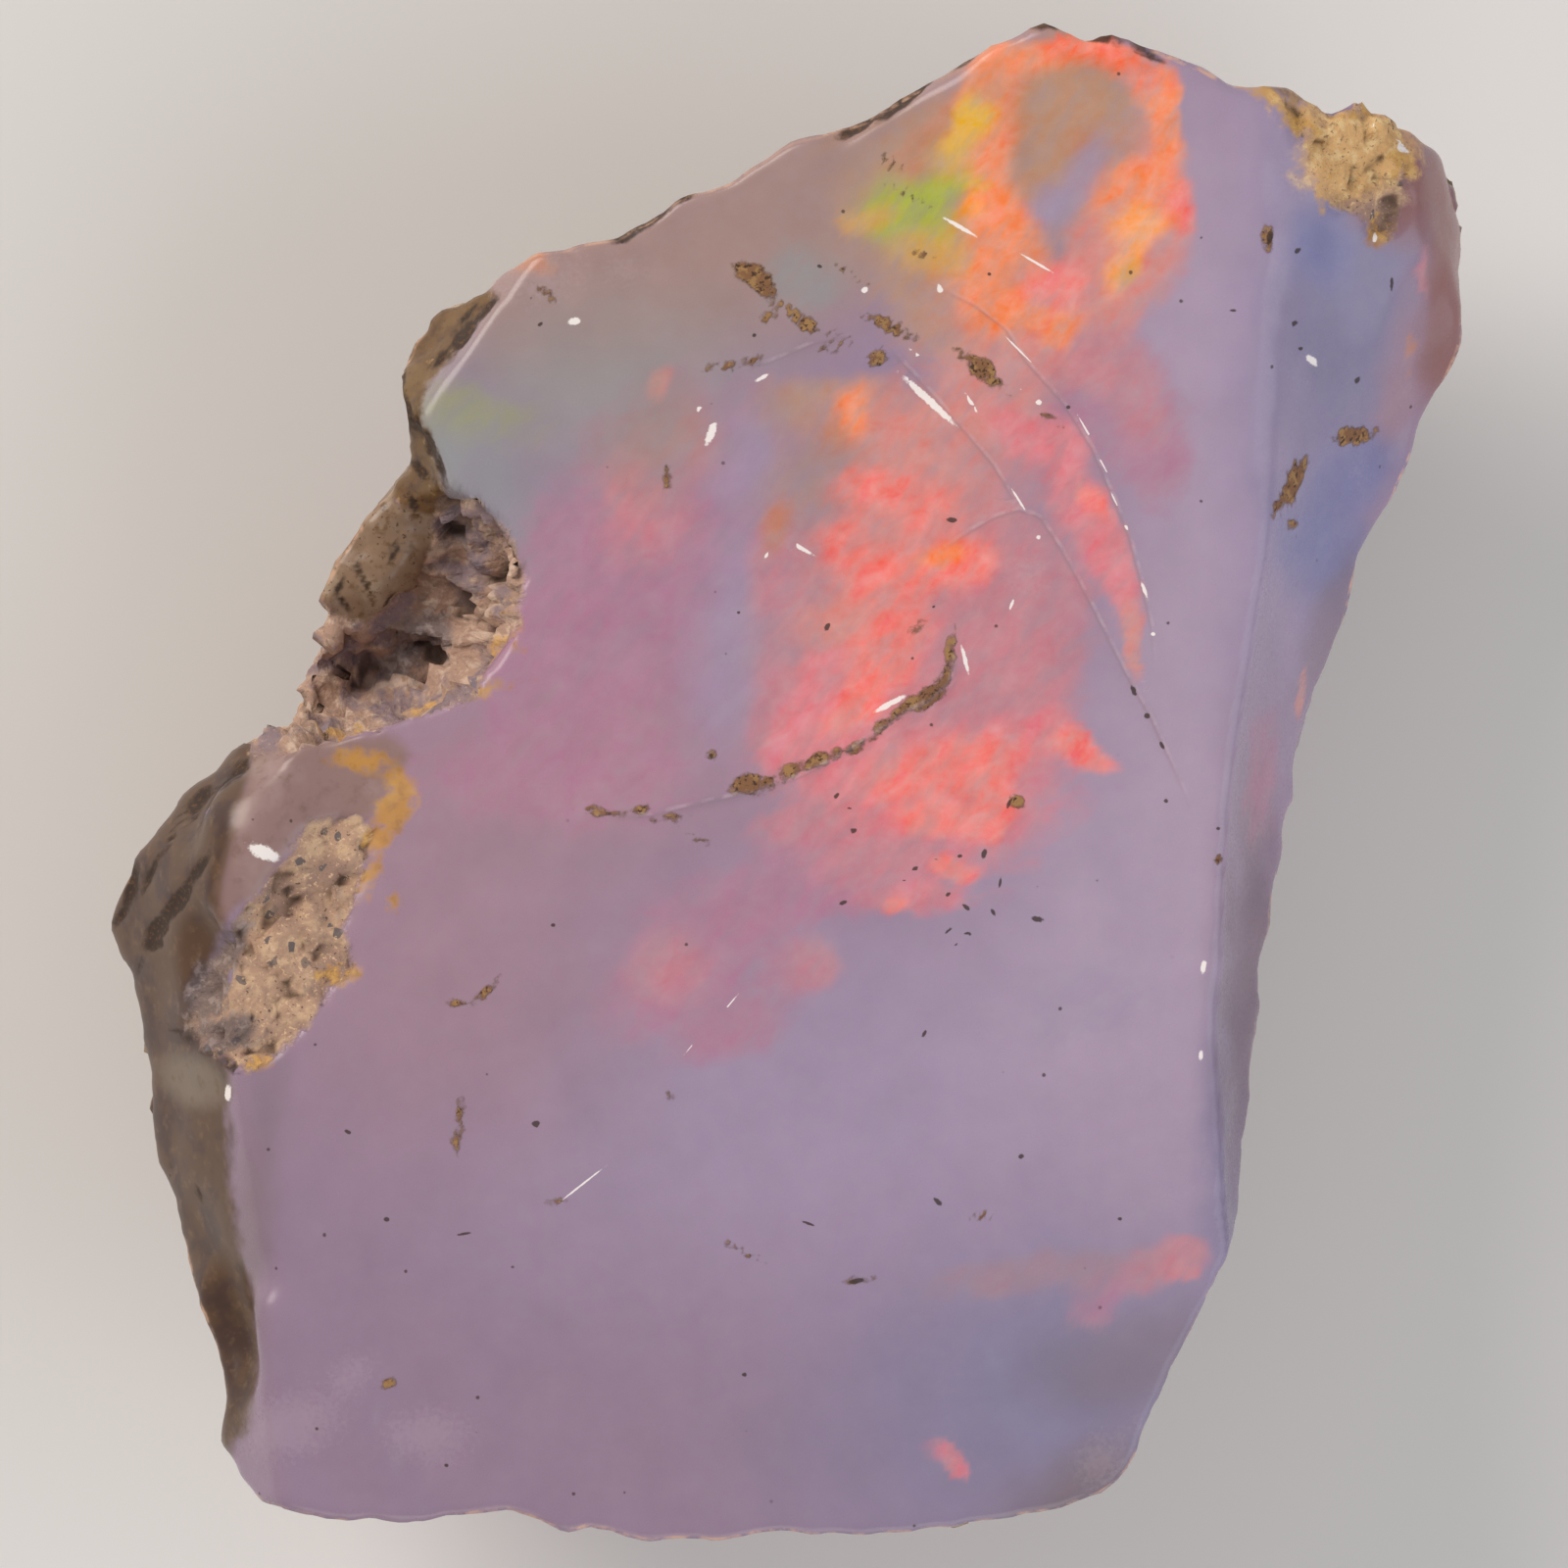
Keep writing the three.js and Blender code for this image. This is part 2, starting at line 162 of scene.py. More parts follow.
def outline_rings():
    """Radius about the core and widest height by angle, for the sharp outline and the smoothed one."""
    angles = np.linspace(-math.pi, math.pi, RING_STEPS, endpoint=False)
    sharp = np.array(OUTLINE[::-1])
    smooth = np.mean([np.roll(sharp, step, axis=0) for step in range(-SMOOTHING, SMOOTHING + 1)], axis=0)
    rings = []
    for ring, worn in ((sharp, SHARP_STEPS), (smooth, SMOOTH_STEPS)):
        ahead = np.roll(ring, -1, axis=0)
        fine = np.concatenate([ring + (ahead - ring) * share for share in np.arange(0, 1, 0.05)])
        away = fine[:, :2] - CORE
        turn = np.arctan2(away[:, 1], away[:, 0])
        order = np.argsort(turn)
        radius = np.interp(angles, turn[order], np.hypot(*away.T)[order], period=2 * math.pi)
        height = np.interp(angles, turn[order], fine[order, 2], period=2 * math.pi)
        around = np.concatenate([radius[-worn:], radius, radius[:worn]])
        radius = np.convolve(around, np.ones(worn) / worn, "same")[worn:-worn]
        rings.append((radius, height))
    chips = np.array([
        sum(noise.noise(Vector((math.cos(a) * r, math.sin(a) * r, where)) * often) * deep
            for often, where, deep in EDGE_CHIPS)
        for a, r in zip(angles, rings[0][0])])
    rings[0] = (rings[0][0] - EDGE_INSET + chips, rings[0][1])
    return angles, rings


def side_profile():
    """Share of the outline by share of the widest height, without corners."""
    steps = np.linspace(-0.5, 1.5, 401)
    share = np.interp(steps, [height for _, height in SIDE], [share for share, _ in SIDE])
    share = np.convolve(share, np.ones(PROFILE_STEPS) / PROFILE_STEPS, "same")
    inner = (steps >= 0) & (steps <= 1)
    return steps[inner], share[inner]


ANGLES, RINGS = outline_rings()
PROFILE = side_profile()


def by_angle(values, angle):
    """A value of the rings at each angle."""
    return np.interp(angle, ANGLES, values, period=2 * math.pi)


def side_radius(angle, height):
    """Radius of the unbroken chip at an angle and a height."""
    (sharp, widest), (smooth, _) = RINGS
    tall = by_angle(widest, angle)
    share = np.clip(height / tall, 0, 1)
    edge = by_angle(smooth, angle) * (1 - share) + by_angle(sharp, angle) * share
    return np.interp(share, *PROFILE) * edge


def worn_max(a, b, soft):
    """The greater of two distances, with the edge between them worn to a radius."""
    overlap = np.maximum(soft - np.abs(a - b), 0)
    return np.maximum(a, b) + overlap * overlap / (4 * soft)


def turned(turn):
    """The matrix of a turn about x, y and z in degrees."""
    return np.array(Euler([math.radians(t) for t in turn]).to_matrix())


def beyond(points, on, facing, reach):
    """Distance out of a flat fracture, which runs its reach to each side."""
    outward = Vector(facing).normalized()
    own = np.array(Vector((0, 0, 1)).rotation_difference(outward).to_matrix())
    local = (points - on) @ own
    sideways = np.maximum(np.abs(local[:, 0]), np.abs(local[:, 1]))
    return -worn_max(-local[:, 2], sideways - reach, REACH_EDGE)


def ball(points, at, half, turn):
    """Distance out of an egg-shaped hollow or knob."""
    local = (points - at) @ turned(turn)
    near = np.linalg.norm(local / half, axis=1)
    steep = np.linalg.norm(local / np.square(half), axis=1)
    return near * (near - 1) / np.maximum(steep, 1e-9)


def rippled(points):
    """The points pushed about a little, so that what is cut there comes out gently uneven."""
    moved = points.copy()
    bend = sum(push * np.sin(points @ way + start) for way, start, push in BENDS)
    for way, start, high in RIPPLES:
        for axis in range(3):
            phase = start + AXIS_SHIFT * axis + bend
            moved[:, axis] += np.sin(points @ np.roll(way, axis) + phase) * high
    return moved


def stone(points):
    """Distance out of the stone, in millimetres: below zero inside."""
    underfoot = -points[:, 2]
    points = rippled(points)
    away = points[:, :2] - CORE
    angle = np.arctan2(away[:, 1], away[:, 0])
    far = np.hypot(*away.T)
    value = far - side_radius(angle, points[:, 2])
    for name, cut in FRACTURES.items():
        old = OLD_EDGE if name.startswith("under") else SHARP_EDGE
        value = worn_max(value, beyond(points, *cut), WORN.get(name, old))
    for name, scoop in SCOOPS.items():
        old = OLD_EDGE if name.endswith("scar") or name.startswith("under") else SHARP_EDGE
        value = worn_max(value, -ball(points, *scoop), WORN.get(name, old))
    for knob in KNOBS.values():
        value = -worn_max(-value, -ball(points, *knob), KNOB_ROOT)
    value = worn_max(value, far - by_angle(RINGS[0][0], angle), SHARP_EDGE)
    return worn_max(value, underfoot, FOOT_EDGE)


def slope(points, value):
    """How fast the distance out of the stone grows along x, y and z."""
    step = 0.01
    return np.stack([(stone(points + axis * step) - value) / step for axis in np.eye(3)], axis=1)


def unit(vectors):
    """The vectors at length 1."""
    return vectors / np.maximum(np.linalg.norm(vectors, axis=1, keepdims=True), 1e-9)


def brought_to_surface(points, rounds):
    """Moves the points onto the stone's surface, and gives its outward direction there."""
    flattest = 0.2
    longest = 0.6
    for _ in range(rounds):
        value = stone(points)
        rise = slope(points, value)
        steep = np.maximum(np.sum(rise * rise, axis=1), flattest)
        move = rise * (value / steep)[:, None]
        length = np.linalg.norm(move, axis=1, keepdims=True)
        points = points - move * np.minimum(1, longest / np.maximum(length, 1e-9))
    return points, unit(rise)


def evened(points, normals, edges, passes):
    """Slides the points along the surface towards the middle of their neighbours."""
    slide = 0.6
    a, b = edges.T
    count = np.bincount(a, minlength=len(points)) + np.bincount(b, minlength=len(points))
    for _ in range(passes):
        middle = np.stack([
            (np.bincount(a, points[b, k], len(points)) + np.bincount(b, points[a, k], len(points))) / count
            for k in range(3)], axis=1)
        move = middle - points
        move -= normals * np.sum(move * normals, axis=1, keepdims=True)
        points = points + move * slide
    return points


def block_of_grids():
    """A cube two across, its faces divided into grids fine enough for the smallest chips."""
    block = bmesh.new()
    bmesh.ops.create_cube(block, size=2)
    for axis, cuts in enumerate(CUTS):
        along = [e for e in block.edges if abs(e.verts[0].co[axis] - e.verts[1].co[axis]) > 1.5]
        bmesh.ops.subdivide_edges(block, edges=along, cuts=cuts)
    return block


def fallen(x, y):
    """Height of the upper surface over each place, found from above."""
    high = np.full(len(x), TOP + 1.0)
    low = np.full(len(x), BOTTOM_SEEN)
    found = np.zeros(len(x), bool)
    for height in np.arange(TOP + 1.0, BOTTOM_SEEN, -0.2):
        inside = stone(np.stack([x, y, np.full(len(x), height)], axis=1)) < 0
        low[inside & ~found] = height
        found |= inside
        high[~found] = height
    for _ in range(8):
        middle = (low + high) / 2
        inside = stone(np.stack([x, y, middle], axis=1)) < 0
        low = np.where(inside, middle, low)
        high = np.where(inside, high, middle)
    return low


# Radius just inside the outline by angle, and the height of the upper edge there.
INSIDE = 0.985
FULL = RINGS[0][0] * INSIDE
RIM = fallen(CORE[0] + np.cos(ANGLES) * FULL, CORE[1] + np.sin(ANGLES) * FULL)


def drawn_to_outline(cube):
    """Lays the cube's points round the chip, spaced about evenly."""
    half_x, half_y = 12.0, 13.0
    belly = 0.6
    within_rim = 0.992
    u, v, w = cube.T
    ring = np.maximum(np.abs(u), np.abs(v))
    angle = np.arctan2(v * half_y, u * half_x)
    tall = by_angle(RINGS[0][1], angle)
    rim = by_angle(RIM, angle)
    low = np.minimum(tall, rim) * belly
    height = low + (rim - low) * (w + 1) / 2
    steps, shares = PROFILE
    under = w < -0.9999
    share = ring * np.interp(low / tall, steps, shares)
    height[under] = (np.interp(share, shares, steps) * tall)[under]
    radius = side_radius(angle, height)
    radius[under] = np.where(share < shares[0], share * by_angle(FULL, angle), radius)[under]
    upper = w > 0.9999
    radius[upper] *= ring[upper] * within_rim
    x = CORE[0] + np.cos(angle) * radius
    y = CORE[1] + np.sin(angle) * radius
    height[upper] = fallen(x[upper], y[upper])
    return np.stack([x, y, height], axis=1)


def linear(code):
    """The linear colour of an sRGB hex code."""
    parts = [int(code[i:i + 2], 16) / 255 for i in (1, 3, 5)]
    return tuple(p / 12.92 if p <= 0.04045 else ((p + 0.055) / 1.055) ** 2.4 for p in parts) + (1,)


# Areas of the surface, as corners read from the photograph.
AREAS = {
    "left_rock": [
        (318, 842), (364, 832), (383, 847), (378, 876), (364, 916), (356, 950), (364, 994), (339, 1008),
        (320, 1043), (286, 1072), (261, 1092), (243, 1084), (207, 1070), (190, 1048), (200, 1010),
        (215, 985), (229, 962), (251, 930), (278, 901), (298, 876),
    ],
    "corner_rock": [
        (1310, 104), (1345, 108), (1375, 100), (1402, 98), (1425, 116), (1442, 150), (1440, 180),
        (1432, 215), (1415, 246), (1402, 240), (1390, 222), (1355, 212), (1340, 185), (1334, 158),
        (1316, 135),
    ],
    "pocket_rock": [
        (452, 520), (485, 522), (512, 546), (530, 590), (524, 636), (490, 672), (480, 706), (430, 718),
        (380, 734), (330, 748), (262, 764), (280, 738), (300, 705), (316, 660), (326, 630), (372, 645),
        (402, 628), (424, 605), (446, 575),
    ],
    "upper_flange": [
        (400, 430), (401, 380), (413, 340), (442, 308), (490, 290), (514, 300), (492, 328), (467, 366),
        (440, 396), (432, 425), (447, 455), (457, 500), (466, 532), (428, 545), (392, 505),
    ],
    "left_flank": [
        (240, 745), (272, 760), (256, 812), (246, 850), (236, 900), (238, 935), (216, 985), (198, 1030),
        (204, 1064), (236, 1088), (238, 1120), (236, 1180), (244, 1250), (258, 1300), (266, 1350),
        (268, 1400), (258, 1450), (225, 1500), (205, 1460), (200, 1380), (160, 1240), (128, 1120),
        (95, 945), (150, 830),
    ],
    "knob": [
        (260, 768), (300, 752), (400, 745), (428, 770), (405, 800), (380, 842), (318, 846), (290, 885),
        (250, 930), (228, 948), (224, 915), (244, 850),
    ],
    "north_edge": [
        (1262, 80), (1310, 78), (1352, 96), (1372, 92), (1350, 112), (1322, 108), (1296, 100),
    ],
}
# Stains and inclusions, each an oval: place, half length, half width (mm), turn.
OVALS = {
    # Yellow iron stain round the host rock.
    "limonite": [
        (372, 776, 0.48, 0.20, -4), (412, 800, 0.36, 0.22, -42), (404, 826, 0.40, 0.32, 55),
        (388, 856, 0.36, 0.25, 52), (380, 896, 0.36, 0.15, 65), (404, 920, 0.13, 0.10, 60),
        (345, 992, 0.40, 0.22, 0), (268, 1080, 0.25, 0.16, 20), (1322, 126, 0.55, 0.2, -42),
        (1350, 190, 0.42, 0.16, 80), (1432, 168, 0.26, 0.3, 0), (1380, 112, 0.5, 0.2, 0),
        (1408, 234, 0.3, 0.2, 60), (522, 622, 0.6, 0.12, -78), (505, 658, 0.4, 0.14, 38),
        (450, 713, 0.9, 0.11, 12), (345, 744, 0.6, 0.10, 14), (1290, 100, 0.5, 0.14, -28),
    ],
    # Clay that settled in the cracks and steps.
    "clay": [
        (969, 670, 0.36, 0.075, 84), (962, 697, 0.18, 0.12, 60), (946, 712, 0.32, 0.17, 40),
        (921, 724, 0.26, 0.09, 45), (901, 740, 0.24, 0.09, 38), (870, 764, 0.22, 0.10, 20),
        (852, 770, 0.20, 0.08, 20), (833, 776, 0.28, 0.12, 25), (810, 784, 0.22, 0.09, 20),
        (785, 798, 0.28, 0.10, 8), (762, 799, 0.28, 0.15, 10), (768, 808, 0.24, 0.08, 0),
        (725, 770, 0.07, 0.06, 0), (618, 830, 0.36, 0.06, -6), (604, 826, 0.12, 0.07, -30),
        (652, 827, 0.24, 0.06, 12), (686, 834, 0.20, 0.05, 5), (766, 281, 0.34, 0.18, -20),
        (780, 294, 0.30, 0.17, -50), (812, 325, 0.42, 0.07, -38), (823, 334, 0.24, 0.12, -40),
        (838, 343, 0.22, 0.06, -20), (842, 360, 0.16, 0.06, -10), (860, 346, 0.16, 0.06, -15),
        (742, 376, 0.34, 0.07, 6), (768, 372, 0.20, 0.10, 10), (912, 338, 0.44, 0.11, -24),
        (897, 330, 0.24, 0.10, -10), (894, 368, 0.20, 0.12, 10), (982, 366, 0.32, 0.08, -40),
        (1001, 379, 0.24, 0.19, -35), (1018, 396, 0.24, 0.07, -30), (556, 301, 0.20, 0.06, -35),
        (682, 488, 0.06, 0.17, 0), (782, 328, 0.10, 0.08, 30), (1383, 443, 0.38, 0.15, 8),
        (1318, 494, 0.46, 0.15, 66), (1302, 516, 0.2, 0.08, 66), (1318, 537, 0.10, 0.08, 0),
        (1072, 430, 0.24, 0.05, -30), (866, 281, 0.24, 0.05, -28), (912, 170, 0.2, 0.05, -30),
        (925, 203, 0.30, 0.045, -32), (940, 262, 0.16, 0.06, -20), (496, 1012, 0.26, 0.07, 45),
        (472, 1022, 0.2, 0.06, 0), (400, 1405, 0.10, 0.08, 30), (567, 1223, 0.12, 0.07, 0),
        (1000, 1237, 0.18, 0.07, 10), (1240, 876, 0.10, 0.09, 40), (473, 1135, 0.05, 0.20, 0),
        (1290, 247, 0.1, 0.2, 10), (467, 1160, 0.05, 0.16, 10), (1036, 818, 0.10, 0.16, 60),
        (935, 642, 0.13, 0.08, 40), (713, 856, 0.22, 0.06, -25), (762, 1275, 0.26, 0.05, -25),
        (470, 1150, 0.07, 0.06, 0), (684, 1115, 0.06, 0.05, 0), (875, 1302, 0.16, 0.05, 5),
    ],
    # Brown tubes and cracks in the clear flange and the left flank, and painted shadow in the pocket.
    "brown_streak_and_shadow": [
        (497, 318, 0.32, 0.09, 50), (475, 345, 0.38, 0.12, 50), (452, 366, 0.34, 0.08, 38),
        (478, 322, 0.30, 0.05, 50), (425, 330, 0.5, 0.05, 48), (412, 380, 0.5, 0.06, 88),
        (418, 425, 0.35, 0.09, -75), (430, 440, 0.22, 0.09, -70), (441, 458, 0.22, 0.11, -70),
        (452, 480, 0.28, 0.07, -75), (430, 480, 0.3, 0.07, -45), (421, 513, 0.2, 0.07, -60),
        (378, 521, 0.2, 0.07, 40), (402, 562, 0.2, 0.07, 72), (368, 586, 0.26, 0.065, -60),
        (350, 615, 0.22, 0.06, -55), (396, 612, 0.2, 0.06, 70), (345, 600, 0.2, 0.06, 60),
        # These two rows lie in the pocket: painted shadow, dark brown where its walls shade it.
        (466, 550, 0.36, 0.15, -60), (446, 585, 0.40, 0.12, 55), (490, 562, 0.4, 0.08, -50),
        (348, 655, 0.34, 0.17, 80), (338, 690, 0.36, 0.15, 75), (358, 706, 0.3, 0.1, 60),
        (132, 905, 0.42, 0.12, 78), (152, 893, 0.42, 0.07, 65), (120, 935, 0.24, 0.08, 50),
        (165, 835, 0.26, 0.06, 55), (176, 850, 0.36, 0.05, 72), (205, 815, 0.30, 0.13, 45),
        (200, 830, 0.2, 0.08, 60), (247, 785, 0.26, 0.12, 55), (232, 800, 0.2, 0.06, 50),
        (205, 888, 0.38, 0.10, 55), (183, 920, 0.40, 0.17, 50), (160, 948, 0.32, 0.18, 52),
        (155, 963, 0.2, 0.14, 0), (141, 985, 0.16, 0.05, 70), (190, 1056, 0.42, 0.06, -22),
        (220, 1072, 0.34, 0.08, -14), (238, 1084, 0.26, 0.08, -42), (143, 1130, 0.3, 0.06, -80),
        (203, 1218, 0.05, 0.14, 20), (208, 1365, 0.06, 0.2, 10), (135, 1050, 0.4, 0.06, -80),
        (172, 1190, 0.05, 0.05, 0), (665, 226, 0.5, 0.11, 34), (640, 244, 0.3, 0.10, 20),
        (700, 202, 0.3, 0.09, 32), (925, 102, 0.75, 0.12, 40), (875, 132, 0.44, 0.12, 32),
        (985, 62, 0.3, 0.11, 38), (1118, 42, 0.5, 0.12, -14), (1068, 30, 0.3, 0.11, 8),
        (1166, 58, 0.35, 0.10, -30), (1350, 100, 0.3, 0.1, 0),
    ],
    # Grey crystalline margin of the host rock.
    "grey_rock": [
        (214, 1010, 0.75, 0.42, 62), (235, 1052, 0.7, 0.42, 10), (208, 1050, 0.4, 0.25, 0),
        (236, 968, 0.85, 0.32, 60), (361, 882, 0.16, 0.09, 70), (350, 925, 0.3, 0.07, 88),
        (430, 650, 0.7, 0.5, 20), (400, 680, 0.6, 0.3, 20), (456, 548, 0.4, 0.2, -50),
    ],
    # Golden iron-rich rock in the corner by the trough.
    "gold_rock": [(1385, 160, 1.3, 0.9, 20), (1330, 120, 0.7, 0.35, -30)],
    # The flank is pale below its crack.
    "pale_flank": [(200, 1102, 0.85, 0.55, -20)],
    # Ridges and corners bruised by knocks.
    "scuffed": [
        (300, 1450, 1.5, 0.9, 20), (440, 1460, 1.2, 0.8, 0), (360, 1400, 0.9, 0.6, 40),
        (262, 1390, 0.25, 1.5, 4), (246, 1270, 0.2, 1.2, -10), (238, 1130, 0.2, 0.7, 0),
        (560, 290, 1.3, 0.6, 20), (640, 280, 0.8, 0.5, 0), (1120, 1485, 0.9, 0.7, 45),
        (1160, 1450, 0.4, 0.5, 0), (1300, 300, 0.25, 2.0, 4), (1336, 380, 0.22, 0.9, -20),
        (1440, 390, 0.26, 1.2, -12), (1420, 460, 0.2, 0.6, -30), (1225, 1180, 0.3, 0.8, 0),
        (810, 560, 0.7, 0.4, -25), (1045, 590, 0.7, 0.6, 0), (1390, 480, 0.4, 0.6, 0),
        (1200, 1215, 1.0, 0.25, 10), (800, 880, 0.5, 0.3, 0),
    ],
}
# Steps where one flake broke off over another, from end to end, and their drop in millimetres.
# The lower side lies to the right of the way.
STEPS = [
    ([(905, 355), (945, 398), (985, 443), (1012, 475), (1032, 508), (1046, 526)], 0.09),
    ([(955, 565), (985, 545), (1012, 529), (1039, 521), (1060, 529), (1081, 561), (1097, 590), (1113, 620),
      (1129, 652), (1151, 695), (1172, 732), (1186, 763), (1199, 791), (1215, 830)], 0.08),
    ([(950, 292), (995, 315), (1025, 338), (1045, 370), (1085, 415), (1113, 460), (1135, 511), (1150, 548),
      (1164, 600), (1173, 640), (1177, 690)], 0.07),
    ([(976, 645), (972, 690), (945, 716), (920, 729), (885, 752), (850, 775), (815, 792), (775, 806),
      (720, 818), (660, 832), (590, 832)], -0.08),
    ([(740, 372), (780, 374), (830, 352), (870, 344)], 0.05),
]


# Tints of the milky body and of the play of colour.
PALETTE = {
    "milk": "#97829A", "mauve": "#917B8F", "bevel_shade_mauve": "#745A78", "violet_grey": "#857F9B",
    "lilac": "#9F8FA9", "pale_lilac": "#A896AC", "plum_grey": "#A0818E", "warm_grey": "#A08580",
    "blue_grey": "#7C7BA2", "sea_grey": "#8E9396", "smoke": "#72635F", "wine_grey": "#8B625F",
    "orchid": "#AE7A92", "dusty_rose": "#C27F8A", "rose": "#DC7A82", "coral": "#F2766A",
    "salmon": "#D4867C", "ember": "#F8704A", "flame": "#F58448", "apricot": "#FFA046",
    "amber": "#D09A4C", "gold": "#E0B034", "tan": "#B48C70", "bronze": "#C07C5A", "lime": "#A9B43A",
    "moss": "#98996F",
}
# Where each tint of the body lies: share, softness of the edge, ovals.
BODY = [
    ("mauve", 0.85, 0.9, [
        (400, 1420, 5.2, 3.6, 20), (800, 1500, 6.5, 2.2, 0), (300, 1200, 2.2, 3.0, 0),
        (560, 1120, 4.0, 2.2, 0)]),
    ("violet_grey", 0.95, 0.9, [(1080, 1410, 4.2, 2.8, 20)]),
    ("lilac", 0.9, 0.9, [(900, 1120, 6.0, 2.6, 8)]),
    ("pale_lilac", 0.9, 0.9, [
        (1140, 980, 2.6, 3.4, 0), (1215, 760, 1.6, 8.0, -3), (1225, 330, 1.3, 4.0, 0)]),
    ("plum_grey", 0.8, 0.9, [(450, 950, 3.0, 3.4, 0), (560, 790, 4.0, 1.8, 0)]),
    ("warm_grey", 0.95, 0.7, [(620, 300, 4.6, 2.2, 22), (830, 205, 4.2, 1.7, 30)]),
    ("mauve", 0.9, 0.7, [(500, 500, 1.4, 2.6, 30)]),
    ("sea_grey", 0.6, 0.9, [(600, 400, 2.6, 1.3, 10), (500, 500, 0.7, 1.6, 30)]),
    ("lilac", 0.9, 0.6, [(1300, 330, 1.1, 4.8, -3), (1300, 640, 0.9, 2.4, -3)]),
    ("violet_grey", 0.95, 0.7, [(1385, 330, 1.5, 3.2, -8), (1255, 1130, 0.5, 2.6, -2)]),
    ("plum_grey", 0.8, 0.7, [(1432, 400, 0.5, 2.2, -14)]),
    ("mauve", 0.6, 0.6, [(1275, 900, 0.7, 4.2, -4)]),
    # Painted shade: this mauve darkens the right bevel, the face turned away from the key lamp.
    ("bevel_shade_mauve", 0.6, 0.7, [(1280, 985, 0.45, 2.6, -4), (1268, 1140, 0.4, 1.8, -4)]),
    ("blue_grey", 0.95, 0.7, [
        (1352, 545, 0.8, 1.3, -12), (1395, 480, 0.7, 0.5, 20), (1345, 250, 0.5, 0.7, 0)]),
    ("wine_grey", 0.95, 0.5, [(1482, 270, 0.5, 3.2, 0), (1425, 180, 0.9, 1.2, 20)]),
    ("smoke", 0.6, 0.8, [(1110, 1525, 1.6, 0.8, 25)]),
    # Painted shade: the first of these ovals darkens the right bevel, like the mauve above.
    ("smoke", 0.4, 0.8, [
        (1278, 1000, 0.5, 3.0, -4), (1362, 640, 0.4, 1.5, -20), (262, 1250, 0.35, 3.0, -4),
        (1150, 1385, 1.6, 0.8, 10)]),
    ("tan", 0.7, 0.6, [(1095, 26, 1.2, 0.3, 0), (1000, 46, 1.2, 0.22, 38), (905, 105, 1.3, 0.22, 38)]),
]
